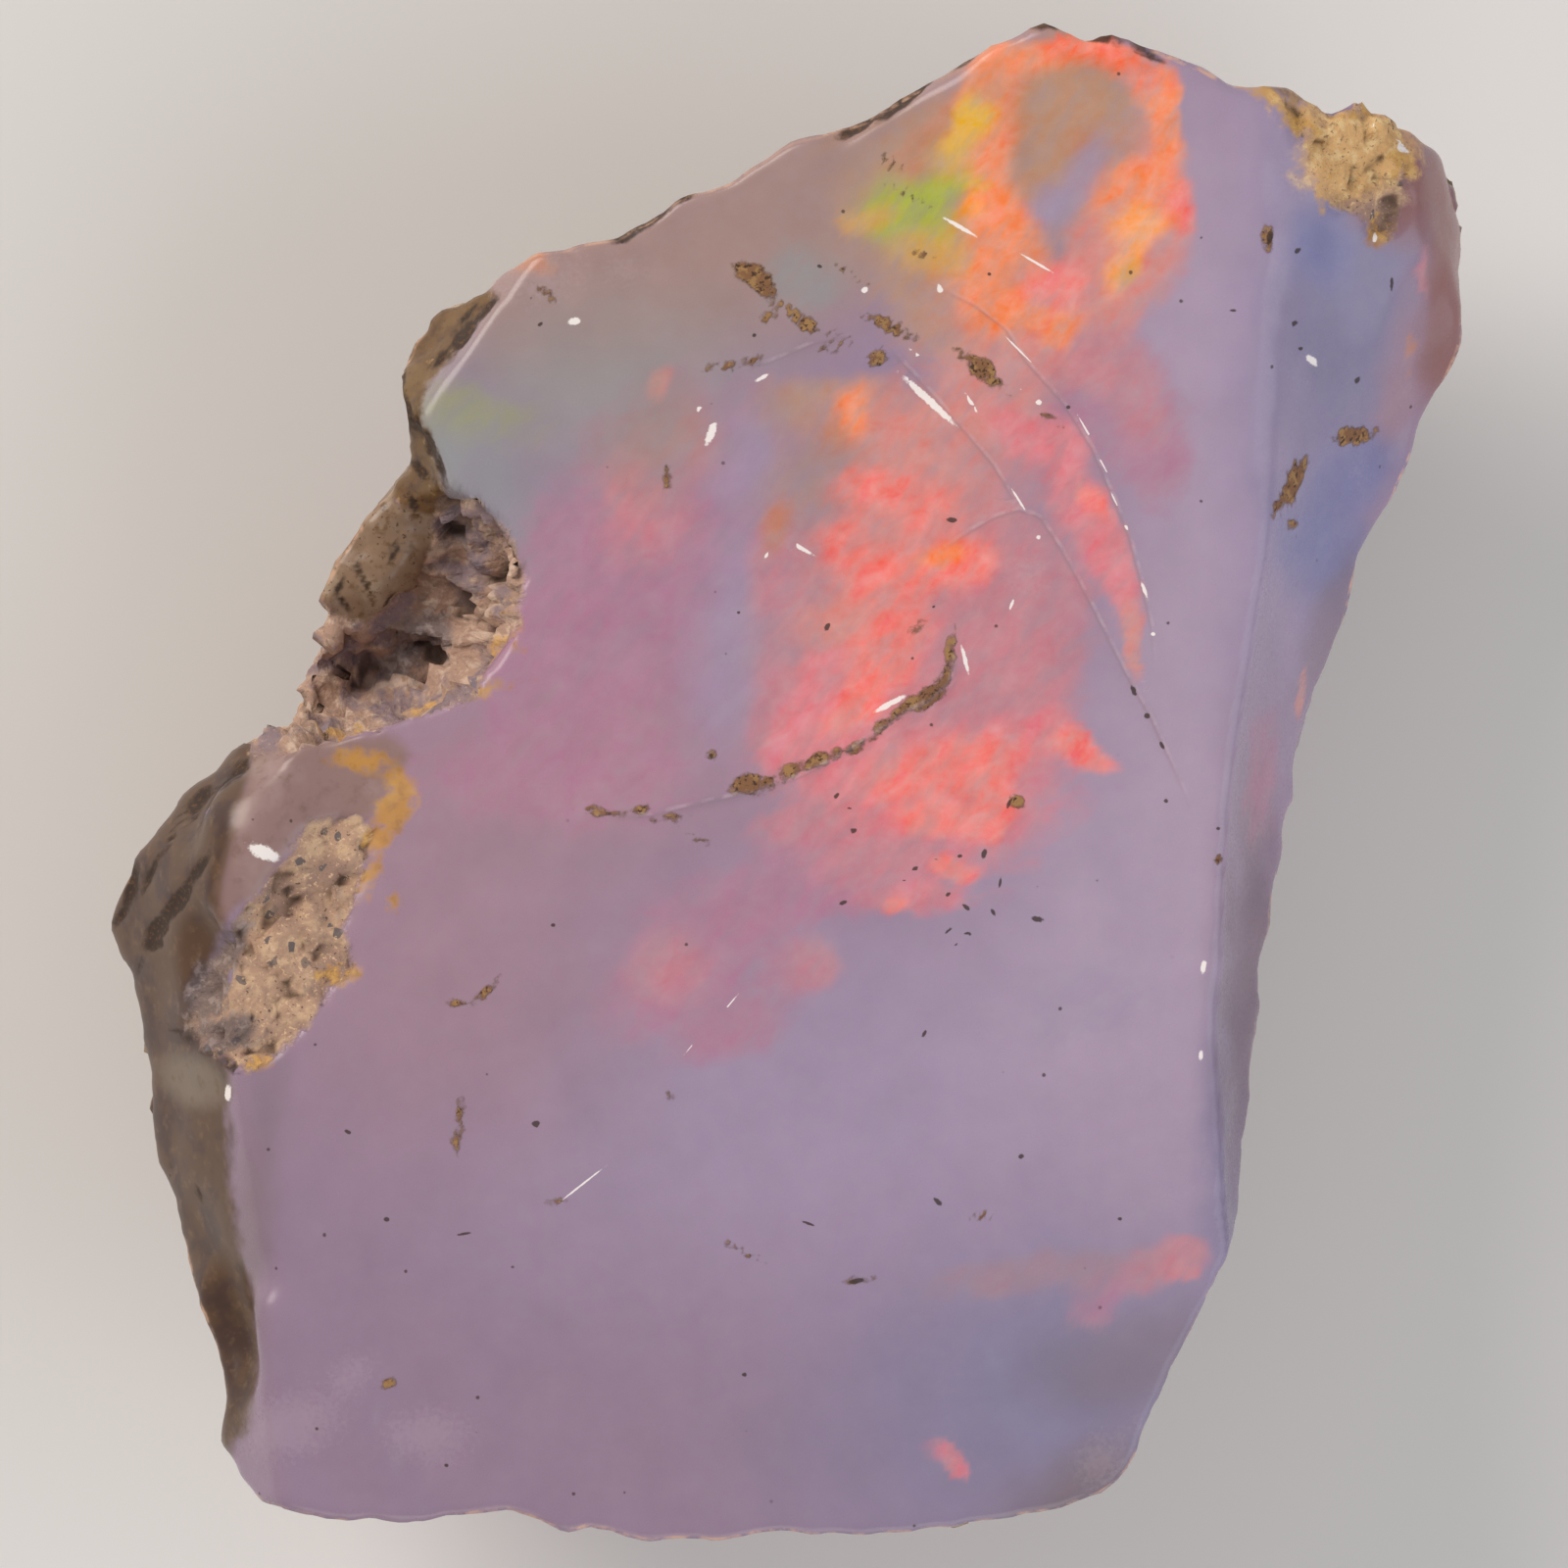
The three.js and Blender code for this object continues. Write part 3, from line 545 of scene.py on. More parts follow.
# The play of colour, laid in this order: broad haze, middle patches, bright flakes, quiet windows.
PLAY = [
    ("orchid", 0.85, 0.85, [
        (690, 560, 3.0, 2.4, 50), (600, 690, 2.2, 2.0, 0), (560, 795, 2.6, 0.9, 0),
        (700, 530, 1.6, 1.0, 40), (600, 600, 0.9, 1.5, 0), (820, 900, 1.6, 0.8, 0),
        (700, 1000, 1.7, 1.1, 20), (750, 1048, 1.0, 0.5, 25), (735, 935, 1.3, 0.7, 0),
        (1130, 420, 1.5, 1.4, -40), (1180, 470, 0.5, 0.8, 0), (1290, 790, 0.4, 1.3, -3),
        (1108, 1338, 0.5, 0.25, 0), (1120, 1308, 0.55, 0.3, 10), (955, 1478, 0.4, 0.22, -40)]),
    ("lilac", 0.85, 0.8, [(755, 650, 0.8, 2.0, -8), (1100, 1025, 1.3, 0.8, 10), (770, 470, 0.8, 0.8, 0)]),
    ("moss", 0.75, 0.85, [(478, 422, 1.3, 0.55, -10)]),
    ("sea_grey", 0.7, 0.75, [(455, 478, 0.5, 0.9, 20), (820, 290, 0.8, 0.7, 0)]),
    ("tan", 0.85, 0.6, [
        (950, 200, 1.7, 1.5, 30), (965, 320, 1.4, 1.0, -20), (845, 415, 1.1, 0.6, 0),
        (1080, 150, 1.9, 2.0, 0)]),
    ("plum_grey", 0.85, 0.8, [(1050, 1295, 2.0, 0.42, 8)]),
    ("salmon", 0.85, 0.6, [
        (930, 610, 3.9, 2.2, 80), (895, 470, 1.4, 1.1, 10), (1010, 415, 1.0, 0.8, -40),
        (1060, 350, 1.7, 0.6, -20), (1112, 320, 1.5, 0.7, 52), (1150, 275, 1.2, 0.8, 60),
        (1172, 200, 1.5, 0.55, 88), (676, 388, 0.34, 0.16, 30), (1335, 705, 0.14, 0.5, -8)]),
    ("rose", 0.8, 0.55, [
        (950, 800, 2.6, 1.9, -5), (1012, 690, 1.2, 1.3, 0), (840, 740, 1.2, 0.9, 35),
        (645, 505, 0.45, 0.75, 10), (925, 918, 0.9, 0.28, 5), (968, 1492, 0.5, 0.20, -52),
        (1198, 1300, 0.34, 0.26, 0)]),
    ("dusty_rose", 0.85, 0.65, [
        (1010, 680, 1.7, 2.0, 0), (1035, 590, 1.4, 1.1, -30), (660, 530, 0.8, 0.9, 0),
        (700, 450, 0.5, 0.6, 0), (790, 715, 0.35, 0.8, -10), (815, 840, 0.8, 0.4, 10),
        (905, 875, 1.1, 0.55, 0), (685, 985, 0.7, 0.6, 0), (822, 985, 0.7, 0.42, 15),
        (1185, 1290, 0.75, 0.45, 12), (1215, 1272, 0.35, 0.3, 30), (1160, 420, 0.4, 0.5, 0),
        (1130, 378, 0.8, 0.5, 0), (787, 585, 0.4, 0.7, 0), (1452, 280, 0.10, 0.4, 0)]),
    ("warm_grey", 0.8, 0.7, [(830, 490, 1.0, 0.8, 60), (670, 445, 1.2, 0.9, 30)]),
    ("bronze", 0.8, 0.6, [
        (540, 275, 0.5, 0.35, 0), (792, 545, 0.42, 0.26, 65), (850, 446, 0.25, 0.3, 0),
        (962, 150, 0.9, 0.6, 40), (1040, 265, 0.6, 0.5, 0), (1442, 350, 0.12, 0.5, 0)]),
    ("rose", 0.9, 0.45, [
        (850, 690, 0.7, 0.5, 30), (812, 740, 0.7, 0.35, 40), (1045, 758, 0.8, 0.35, 0),
        (1070, 745, 0.4, 0.3, 0), (885, 812, 0.7, 0.35, 10), (1035, 445, 0.7, 0.35, -45),
        (1078, 480, 0.85, 0.36, -60), (1105, 530, 1.0, 0.46, -62), (1135, 590, 1.1, 0.38, -70),
        (1090, 455, 0.5, 0.25, -50)]),
    ("salmon", 0.85, 0.45, [
        (868, 625, 0.8, 0.45, 25), (1152, 655, 0.8, 0.25, -80), (1118, 250, 0.5, 0.4, 40),
        (940, 440, 0.6, 0.5, 30)]),
    ("coral", 0.9, 0.45, [
        (868, 503, 0.5, 0.36, 20), (925, 515, 0.9, 0.45, -5), (955, 575, 1.1, 0.6, 8),
        (985, 570, 0.6, 0.35, 20), (900, 585, 0.8, 0.5, 20), (860, 560, 0.4, 0.5, 0),
        (905, 660, 0.9, 0.6, 60), (880, 715, 0.9, 0.3, 32), (965, 785, 1.5, 0.55, 8),
        (1010, 810, 0.5, 0.6, 0), (1100, 768, 0.62, 0.28, -22), (955, 835, 0.8, 0.35, 0),
        (1005, 845, 0.3, 0.25, 0), (968, 885, 0.4, 0.22, 0), (908, 928, 0.25, 0.14, 0),
        (1065, 300, 0.9, 0.5, 10), (1190, 212, 0.35, 0.5, 0), (1110, 520, 0.3, 0.2, -60)]),
    ("flame", 0.9, 0.45, [
        (1150, 198, 0.8, 0.45, 15), (1183, 130, 1.2, 0.32, 84), (866, 420, 0.28, 0.5, 0),
        (1060, 62, 1.2, 0.36, 14), (1175, 96, 0.5, 0.4, -60), (1012, 150, 1.7, 0.46, 86),
        (1005, 118, 0.5, 0.5, 0), (1018, 185, 0.7, 0.36, 90), (1025, 235, 0.9, 0.6, -60),
        (1000, 290, 1.1, 0.55, -60), (1085, 345, 0.5, 0.3, 30), (1045, 330, 0.5, 0.25, -20),
        (955, 560, 0.5, 0.25, 10)]),
    ("ember", 0.9, 0.4, [(1078, 52, 0.6, 0.24, 4), (1125, 68, 1.0, 0.34, -14), (1148, 76, 0.6, 0.36, -30)]),
    ("bronze", 0.8, 0.5, [(1082, 140, 1.0, 1.1, 10), (1075, 185, 0.5, 0.5, 0)]),
    ("tan", 0.75, 0.5, [(1085, 112, 1.1, 0.6, 0), (1066, 170, 0.5, 0.7, 0)]),
    ("lilac", 0.8, 0.5, [(1100, 200, 0.95, 0.30, 62), (1072, 215, 0.4, 0.4, 0)]),
    ("apricot", 0.85, 0.5, [
        (1162, 236, 0.5, 0.32, 30), (1146, 272, 0.7, 0.20, 62), (995, 222, 0.25, 0.2, 0)]),
    ("lime", 0.9, 0.5, [(932, 234, 0.9, 0.6, -30), (958, 200, 0.8, 0.36, 30), (905, 215, 0.35, 0.3, 0)]),
    ("amber", 0.8, 0.5, [
        (948, 268, 0.7, 0.36, -10), (888, 224, 0.5, 0.28, 5), (975, 165, 0.5, 0.4, 0),
        (1145, 285, 0.3, 0.12, 62)]),
    ("gold", 0.85, 0.5, [(984, 138, 0.6, 0.30, 70), (995, 118, 0.3, 0.25, 0), (1001, 193, 0.34, 0.17, 0)]),
]
# The same on the hidden sides, where it changes through the stone in soft clouds.
BODY_HIDDEN = ("blue_grey", "mauve", "lilac", "plum_grey", "warm_grey")
PLAY_HIDDEN = ("sea_grey", "moss", "amber", "flame", "coral", "rose", "orchid", "blue_grey")

# Small dark pits in the broad face: place, half length, half width (mm), turn.
PITS = [
    (970, 532, 0.09, 0.045, -5), (944, 534, 0.03, 0.025, 0), (844, 640, 0.08, 0.045, 60),
    (856, 622, 0.06, 0.02, 55), (952, 620, 0.03, 0.02, 30), (754, 626, 0.03, 0.025, 0),
    (853, 812, 0.06, 0.035, 50), (867, 826, 0.07, 0.035, -35), (871, 846, 0.08, 0.055, 70),
    (1003, 871, 0.085, 0.045, 70), (978, 873, 0.05, 0.03, 10), (954, 877, 0.03, 0.02, 0),
    (932, 887, 0.08, 0.04, 50), (922, 897, 0.04, 0.025, 0), (985, 925, 0.08, 0.035, -40),
    (966, 912, 0.05, 0.03, 30), (1012, 930, 0.07, 0.03, -60), (1019, 900, 0.09, 0.025, 80),
    (1057, 937, 0.11, 0.05, -8), (967, 950, 0.09, 0.05, 60), (986, 952, 0.07, 0.04, 10),
    (974, 961, 0.06, 0.05, 0), (1154, 705, 0.09, 0.045, -70), (1168, 731, 0.06, 0.05, 0),
    (1183, 761, 0.07, 0.035, -60), (1187, 817, 0.04, 0.035, 0), (1028, 820, 0.09, 0.03, 70),
    (860, 920, 0.07, 0.035, 20), (549, 1144, 0.07, 0.06, 0), (359, 1152, 0.07, 0.035, -30),
    (398, 1240, 0.05, 0.04, 0), (476, 1255, 0.12, 0.025, 10), (458, 1490, 0.04, 0.03, 0),
    (956, 1223, 0.1, 0.04, -40), (1140, 1240, 0.04, 0.03, 0), (760, 1398, 0.045, 0.04, 0),
    (942, 1053, 0.07, 0.03, 60), (1040, 1177, 0.05, 0.04, 20), (1292, 246, 0.12, 0.05, 80),
    (1321, 259, 0.07, 0.04, 40), (1420, 290, 0.13, 0.03, 90), (1303, 341, 0.065, 0.05, 0),
    (1316, 333, 0.12, 0.045, 20), (1325, 357, 0.045, 0.04, 0), (1386, 387, 0.07, 0.04, 50),
    (1255, 320, 0.06, 0.025, 0), (873, 1303, 0.15, 0.045, 10), (825, 1245, 0.12, 0.022, -20),
    (566, 943, 0.04, 0.03, 0), (1088, 418, 0.04, 0.035, 0), (1008, 283, 0.035, 0.03, 0),
    (553, 334, 0.05, 0.03, 40), (770, 345, 0.04, 0.035, 0), (836, 275, 0.045, 0.03, -30),
    (1240, 845, 0.04, 0.03, 0), (726, 771, 0.04, 0.035, 0),
]
# White marks, in the same way: painted highlights where the breaks and the knob catch the light, together
# with white bruises and hair-thin splinters along the breaks.
GLINTS_AND_BRUISES = [
    (947, 411, 0.64, 0.065, -43), (990, 414, 0.20, 0.03, -58), (936, 366, 0.20, 0.03, -40),
    (978, 235, 0.32, 0.035, -30), (1056, 272, 0.33, 0.022, -30), (1043, 398, 0.08, 0.05, 0),
    (958, 298, 0.08, 0.05, -70), (882, 299, 0.05, 0.06, -60), (1038, 360, 0.34, 0.016, -45),
    (1058, 413, 0.05, 0.05, 0), (1108, 444, 0.36, 0.016, -60), (1122, 474, 0.22, 0.014, -62),
    (1135, 512, 0.14, 0.014, -65), (1038, 512, 0.22, 0.020, -58), (1058, 550, 0.04, 0.04, 0),
    (1147, 540, 0.06, 0.025, -60), (1165, 603, 0.13, 0.032, -70), (1174, 648, 0.04, 0.03, 0),
    (1031, 618, 0.10, 0.025, 70), (587, 331, 0.11, 0.06, 5), (726, 444, 0.22, 0.07, 72),
    (715, 420, 0.06, 0.055, 0), (816, 560, 0.26, 0.035, -30), (784, 566, 0.12, 0.025, 50),
    (778, 388, 0.12, 0.035, 30), (907, 719, 0.30, 0.05, 28), (984, 674, 0.26, 0.036, -75),
    (1225, 985, 0.11, 0.05, 80), (1222, 1075, 0.08, 0.04, 80), (1434, 148, 0.16, 0.055, -42),
    (1385, 134, 0.09, 0.06, -30), (1397, 130, 0.05, 0.05, 0), (1403, 244, 0.08, 0.035, 60),
    (1338, 369, 0.13, 0.06, -40), (237, 1113, 0.06, 0.14, 0), (735, 1035, 0.5, 0.014, 50),
    (715, 1055, 0.4, 0.012, 50), (596, 1205, 0.45, 0.016, 38), (274, 869, 0.28, 0.12, -25),
]


def between(values, start, end):
    """0 before start, 1 after end, smooth between them."""
    share = np.clip((values - start) / (end - start), 0, 1)
    return share * share * (3 - 2 * share)


def bowl(distance, edge):
    """1 in the middle of a shallow bowl and 0 from its edge on."""
    return np.clip(1 - (distance / edge) ** 2, 0, 1)


def clouds(points, scale, seed, octaves=3):
    """Cloudy noise from about -1 to 1 at each point. The scale is in millimetres."""
    shift = Vector((seed, seed * 0.37, -seed * 0.71))
    return np.array([
        noise.fractal(Vector(point) / scale + shift, 0.9, 2.0, octaves, noise_basis="PERLIN_ORIGINAL")
        for point in points])


def grains(points, scale, seed):
    """For angular grains: a level and a tilt at random, the distance from the middle and to the border."""
    shift = Vector((seed, -seed * 0.53, seed * 0.29))
    near = []
    for point in points:
        place = Vector(point) / scale + shift
        spans, centres = noise.voronoi(place)
        lean = noise.cell_vector(centres[0] * 5.1) - Vector((0.5, 0.5, 0.5))
        near.append((
            noise.cell(centres[0] * 7.3), (place - centres[0]).dot(lean), spans[0], spans[1] - spans[0]))
    return np.array(near).T


def into(x, y, corners):
    """Distance into a many-sided area, in millimetres: below zero outside."""
    ring = np.array([seen(*corner) for corner in corners])
    best = np.full(len(x), 1e9)
    inside = np.zeros(len(x), bool)
    for (ax, ay), (bx, by) in zip(ring, np.roll(ring, -1, axis=0)):
        dx, dy = bx - ax, by - ay
        along = np.clip(((x - ax) * dx + (y - ay) * dy) / (dx * dx + dy * dy), 0, 1)
        best = np.minimum(best, np.hypot(x - ax - along * dx, y - ay - along * dy))
        crosses = ((ay > y) != (by > y)) & (x < ax + (y - ay) / np.where(dy == 0, 1e-9, dy) * dx)
        inside ^= crosses
    return np.where(inside, best, -best)


def along_across(x, y, px, py, turn):
    """Distance along and across a turned line through a pixel of the photograph, in millimetres."""
    cx, cy = seen(px, py)
    c, s = math.cos(math.radians(turn)), math.sin(math.radians(turn))
    return (x - cx) * c + (y - cy) * s, (y - cy) * c - (x - cx) * s


def oval(x, y, px, py, length, width, turn):
    """Share of the way to an oval's edge: 1 on it."""
    along, across = along_across(x, y, px, py, turn)
    return np.hypot(along / length, across / width)


def into_ovals(x, y, ovals):
    """Distance into the nearest of some ovals, in millimetres: below zero outside."""
    best = np.full(len(x), -1.0)
    for px, py, length, width, turn in ovals:
        reach = oval(x, y, px, py, length, width, turn)
        best = np.maximum(best, (1 - reach) * min(length, width))
    return best


OUT_OF_REACH = 9     # in an oval's own measure, past the farthest frayed edge


def in_nearest(x, y, ovals, edges):
    """Place in the nearest oval's own measure, where its edge is 1 from its middle. Where the grounds
    of two ovals meet, the third part puts it out of reach."""
    best = np.full(len(x), 1e9)
    own = np.zeros((len(x), 3))
    which = np.zeros(len(x), int)
    for k, (px, py, length, width, turn) in enumerate(ovals):
        along, across = along_across(x, y, px, py, turn)
        off = np.hypot(np.maximum(np.abs(along) - length, 0), np.maximum(np.abs(across) - width, 0))
        nearer = off < best
        best = np.where(nearer, off, best)
        which[nearer] = k
        own[nearer] = np.stack([along / length, across / width, 0 * x], axis=1)[nearer]
    a, b = edges.T
    meets = which[a] != which[b]
    own[a[meets], 2] = OUT_OF_REACH
    own[b[meets], 2] = OUT_OF_REACH
    return own


def across_line(x, y, corners):
    """Distance to the right of a line, in millimetres, and how far along it lies, from 0 to 1."""
    line = np.array([seen(*corner) for corner in corners])
    spans = np.linalg.norm(np.diff(line, axis=0), axis=1)
    starts = np.concatenate([[0], np.cumsum(spans)])
    best = np.full(len(x), 1e9)
    side = np.ones(len(x))
    share = np.zeros(len(x))
    for (ax, ay), (bx, by), span, start in zip(line, line[1:], spans, starts):
        dx, dy = (bx - ax) / span, (by - ay) / span
        along = (x - ax) * dx + (y - ay) * dy
        off = np.hypot(x - ax - np.clip(along, 0, span) * dx, y - ay - np.clip(along, 0, span) * dy)
        nearer = off < best
        best = np.where(nearer, off, best)
        side = np.where(nearer, np.sign((x - ax) * dy - (y - ay) * dx), side)
        share = np.where(nearer, (start + along) / starts[-1], share)
    return best * side, share


# Host rock under the notch, where the photograph doesn't reach: middle and half axes.
BACK_ROCK = ((-9.3, 1.2, 3.6), (2.2, 2.6, 1.7))
LOBE_REACH = 0.30    # how far the lobe's clear opal runs past its knob
# How far from a step its own place is given, how far off it counts as near, and over how much its
# low side comes back up.
STEP_REACH = 0.4
STEP_NEAREST = 0.8
STEP_RETURN = 1.3


class Places:
    """The smooth surface and what lies where on it."""

    def __init__(self, points, normals):
        self.points = points
        self.x, self.y, self.z = points.T
        away = points[:, :2] - CORE
        angle = np.arctan2(away[:, 1], away[:, 0])
        far = np.hypot(*away.T)
        self.up = between(normals[:, 2], 0.05, 0.35) * between(self.z, 3.5, 5.5)
        self.inward = side_radius(angle, np.full(len(points), 100.0)) - far
        self.wavy = clouds(points, 2.4, 11)
        self.fine = clouds(points, 0.7, 23)
        self.patchy = clouds(points, 4.6, 47)
        self.under_rim = by_angle(RIM, angle) - self.z
        self.steep = 1 - between(normals[:, 2], 0.0, 0.3)
        self.hidden = self.steep * between(self.under_rim + 0.5 * self.wavy, 0.2, 1.4)
        carved = np.abs(side_radius(angle, self.z) - far)
        below_widest = by_angle(RINGS[0][1], angle) - self.z
        skin = 0.16 - carved + 0.55 * self.patchy - 0.12 * self.wavy
        border = (below_widest - 0.3 + 2.4 * self.patchy + 0.8 * self.wavy) * 0.5
        self.skin = np.where(self.steep > 0.5, np.minimum(skin, border), -1.0)
        scoops = [SCOOPS["pocket"], SCOOPS["pocket_mouth"]]
        hollow = np.min([np.abs(ball(points, *scoop)) for scoop in scoops], axis=0)
        pocket = np.minimum(into(self.x, self.y, AREAS["pocket_rock"]) + 0.15, 0.5 - hollow)
        self.pocket = np.where(self.z > SIDES_SEEN, pocket, -1.0)
        rock = np.max([into(self.x, self.y, AREAS[name]) for name in ("left_rock", "corner_rock")], axis=0)
        rock = np.where(self.up > 0.12, rock, -1.0)
        back = 1.0 - np.linalg.norm((points - BACK_ROCK[0]) / BACK_ROCK[1], axis=1)
        self.rock = np.maximum(np.maximum(rock, self.pocket), back + 0.3 * self.wavy)
        self.lobe = LOBE_REACH - ball(points, *KNOBS["flange_lobe"])
        self.step_side = np.full(len(points), STEP_REACH)
        self.step_near = np.zeros(len(points))
        self.step_height = np.zeros(len(points))
        closest = np.full(len(points), STEP_NEAREST)
        for corners, drop in STEPS:
            side, share = across_line(self.x, self.y, corners)
            strength = between(share, -0.02, 0.12) * (1 - between(share, 0.82, 1.02)) * self.up
            low_side = side * math.copysign(1, drop)
            fall = between(low_side, -0.04, 0.10) * np.exp(-np.maximum(low_side, 0) / STEP_RETURN)
            self.step_height -= abs(drop) * fall * strength
            nearer = (np.abs(side) < closest) & (strength > 0)
            closest = np.where(nearer, np.abs(side), closest)
            self.step_side = np.where(nearer, low_side.clip(-STEP_REACH, STEP_REACH), self.step_side)
            felt = strength * (1 - between(np.abs(side), 0.15, 0.35))
            self.step_near = np.where(nearer, felt, self.step_near)


# Fine forms of the surface, in millimetres: width of the host rock's grains, of the shell-shaped
# scallops on the sides and of the chips in them, and how high or how deep each is.
GRAIN, GRAIN_HIGH = 0.45, 0.20
SCALLOP, SCALLOP_DEEP = 3.4, 0.34
CHIP, CHIP_DEEP = 1.15, 0.07
ROCK_SUNK = 0.08
FACE_WAVES = 0.010
# The crust of old skin, then the clear flange and lobe.
CRUST_HIGH = 0.08
CRUST_SUNK = 0.03
CLEAR_WAVES = 0.09
CLEAR_CHIPS = 0.03
SCUFF_DEEP = 0.05
STREAK_DEEP = 0.08
CLAY_HIGH = 0.03


def relief(places):
    """Height of the fine forms over the smooth surface, in millimetres, and how hollow the rock is, which
    sets the painted shade in its hollows.
    """
    rock = between(places.rock, -0.12, 0.12)
    deep = between(places.pocket, -0.10, 0.15)
    level, lean, _, seam = grains(places.points, GRAIN, 5)
    lumps = (level - 0.5) * GRAIN_HIGH + lean * 0.5 + between(seam, 0, 0.3) * 0.08
    lumps = lumps * (0.55 + 0.7 * deep) + places.fine * (0.05 + 0.10 * deep)
    height = rock * (lumps - ROCK_SUNK)
    # Painted shade: the lower a grain lies, the darker the rock is coloured there.
    hollow = np.clip(0.5 - lumps * (2.2 - 0.9 * deep), 0, 1)

    plain = 1 - rock
    height += plain * places.up * places.wavy * FACE_WAVES
    skin = between(places.skin, -0.05, 0.10)
    _, _, dish, _ = grains(places.points + places.wavy[:, None] * 0.5, SCALLOP, 9)
    _, _, chip, _ = grains(places.points + places.fine[:, None] * 0.2, CHIP, 17)
    side = places.steep * between(places.under_rim, 0.1, 0.8) * plain * (1 - 0.75 * skin)
    height -= side * (SCALLOP_DEEP * bowl(dish, 0.75) + CHIP_DEEP * bowl(chip, 0.7))
    crust = (level - 0.5) * CRUST_HIGH + lean * 0.22 + places.wavy * 0.08 + places.fine * 0.07
    height += skin * plain * (crust - CRUST_SUNK)

    clear = np.maximum(into(places.x, places.y, AREAS["upper_flange"]) * places.up, places.lobe)
    height += between(clear, 0, 0.2) * (places.fine * CLEAR_WAVES - CLEAR_CHIPS * bowl(chip, 0.6))
    scuffed = into_ovals(places.x, places.y, OVALS["scuffed"])
    height += between(scuffed, -0.1, 0.2) * places.up * np.minimum(places.fine, 0) * SCUFF_DEEP
    streaks_and_shadow = into_ovals(places.x, places.y, OVALS["brown_streak_and_shadow"])
    height -= between(streaks_and_shadow, -0.02, 0.10) * STREAK_DEEP * places.up
    clay = into_ovals(places.x, places.y, OVALS["clay"])
    height += between(clay, -0.02, 0.06) * CLAY_HIGH * places.up * plain
    return height + places.step_height * plain, hollow


def tinted(colour, tint, cover):
    """The colour with a tint laid over it. The cover goes from 0 to 1."""
    return colour + (np.array(linear(PALETTE[tint])[:3]) - colour) * cover[:, None]


def covers(x, y, rows):
    """Each tint of the rows, oval by oval, with how far it covers each point."""
    for tint, share, soft, ovals in rows:
        for place in ovals:
            yield tint, share * (1 - between(oval(x, y, *place), 1 - soft, 1 + soft))


def along_tints(names, level):
    """A tint for each level, from the lowest for the first name to the highest for the last."""
    lowest, highest = -0.6, 0.6
    tints = np.array([linear(PALETTE[name])[:3] for name in names])
    stops = np.linspace(lowest, highest, len(names))
    return np.stack([np.interp(level, stops, channel) for channel in tints.T], axis=1)


def painted(places):
    """Tint of the milky body, and tint and strength of the play of colour, linear."""
    points = places.points
    x = places.x + clouds(points, 1.6, 3) * 0.24 + clouds(points, 0.5, 7, 2) * 0.08
    y = places.y + clouds(points, 1.6, 31) * 0.24 + clouds(points, 0.5, 37, 2) * 0.08
    body = np.tile(linear(PALETTE["milk"])[:3], (len(x), 1))
    for tint, cover in covers(x, y, BODY):
        body = tinted(body, tint, cover)
    body += (along_tints(BODY_HIDDEN, clouds(points, 4.2, 91)) - body) * places.hidden[:, None]
    play = body.copy()
    strength = np.zeros(len(x))
    for tint, cover in covers(x, y, PLAY):
        play = tinted(play, tint, cover)
        strength += (1 - strength) * cover
    strength *= 1 - places.hidden
    glow = between(clouds(points, 3.4, 71), 0.10, 0.45) * places.hidden * 0.85
    play += (along_tints(PLAY_HIDDEN, clouds(points, 2.6, 83) * 1.2) - play) * places.hidden[:, None]
    return body, play, np.maximum(strength, glow)


# Heights in millimetres above which the clear flange lies, and down to which the steep sides are marked.
FLANGE_FOOT = 5.0
SIDES_SEEN = 4.5


def fields(places, hollow, edges):
    """What the finish reads at each point of the mesh."""
    x, y, up = places.x, places.y, places.up
    body, play, strength = painted(places)
    found = {
        "body_tint": body,
        "play_tint": play,
        "pit_place": in_nearest(x, y, PITS, edges),
        "glint_bruise_place": in_nearest(x, y, GLINTS_AND_BRUISES, edges),
        "play_strength": strength,
        "host_rock": places.rock,
        "rock_hollow_shade": hollow,
        "pocket": places.pocket,
        "rim": places.inward,
        "old_skin": places.skin,
        "upward": up,
        "step_side": places.step_side,
        "step_near": places.step_near,
        "lobe": places.lobe,
        "flange": np.maximum(
            np.where(places.z > FLANGE_FOOT, into(x, y, AREAS["upper_flange"]), -1.0), places.lobe),
    }
    for name in ("left_flank", "knob", "north_edge"):
        found[name] = np.where(places.steep < 0.95, into(x, y, AREAS[name]), -1.0)
    for name, ovals in OVALS.items():
        shows = places.z > SIDES_SEEN if name in ("brown_streak_and_shadow", "grey_rock") else up > 0.15
        found[name] = np.where(shows, into_ovals(x, y, ovals), -1.0)
    return {name: values if values.ndim == 2 else values.clip(-1, 1) for name, values in found.items()}


def opal_mesh():
    """The stone's skin: a cube's grids drawn round it, brought to its surface and given its relief."""
    block = block_of_grids()
    mesh = bpy.data.meshes.new("rough_opal_stone")
    block.to_mesh(mesh)
    block.free()
    cube = np.zeros(len(mesh.vertices) * 3)
    mesh.vertices.foreach_get("co", cube)
    edges = np.zeros(len(mesh.edges) * 2, int)
    mesh.edges.foreach_get("vertices", edges)
    edges = edges.reshape(-1, 2)
    points = drawn_to_outline(cube.reshape(-1, 3))
    points, normals = brought_to_surface(points, 2)
    for _ in range(6):
        points = evened(points, normals, edges, 8)
        points, normals = brought_to_surface(points, 2)
    points, normals = brought_to_surface(points, 2)
    places = Places(points, normals)
    height, hollow = relief(places)
    points = points + normals * height[:, None]
    low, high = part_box("rough_opal")
    points = np.clip(points, np.array(low) / MM, np.array(high) / MM)
    mesh.vertices.foreach_set("co", (points * MM).ravel())
    for name, values in fields(places, hollow, edges).items():
        kind, part = ("FLOAT_VECTOR", "vector") if values.ndim == 2 else ("FLOAT", "value")
        attribute = mesh.attributes.new(name, kind, "POINT")
        attribute.data.foreach_set(part, values.astype(np.float32).ravel())
    mesh.shade_smooth()
    mesh.update()
    return mesh


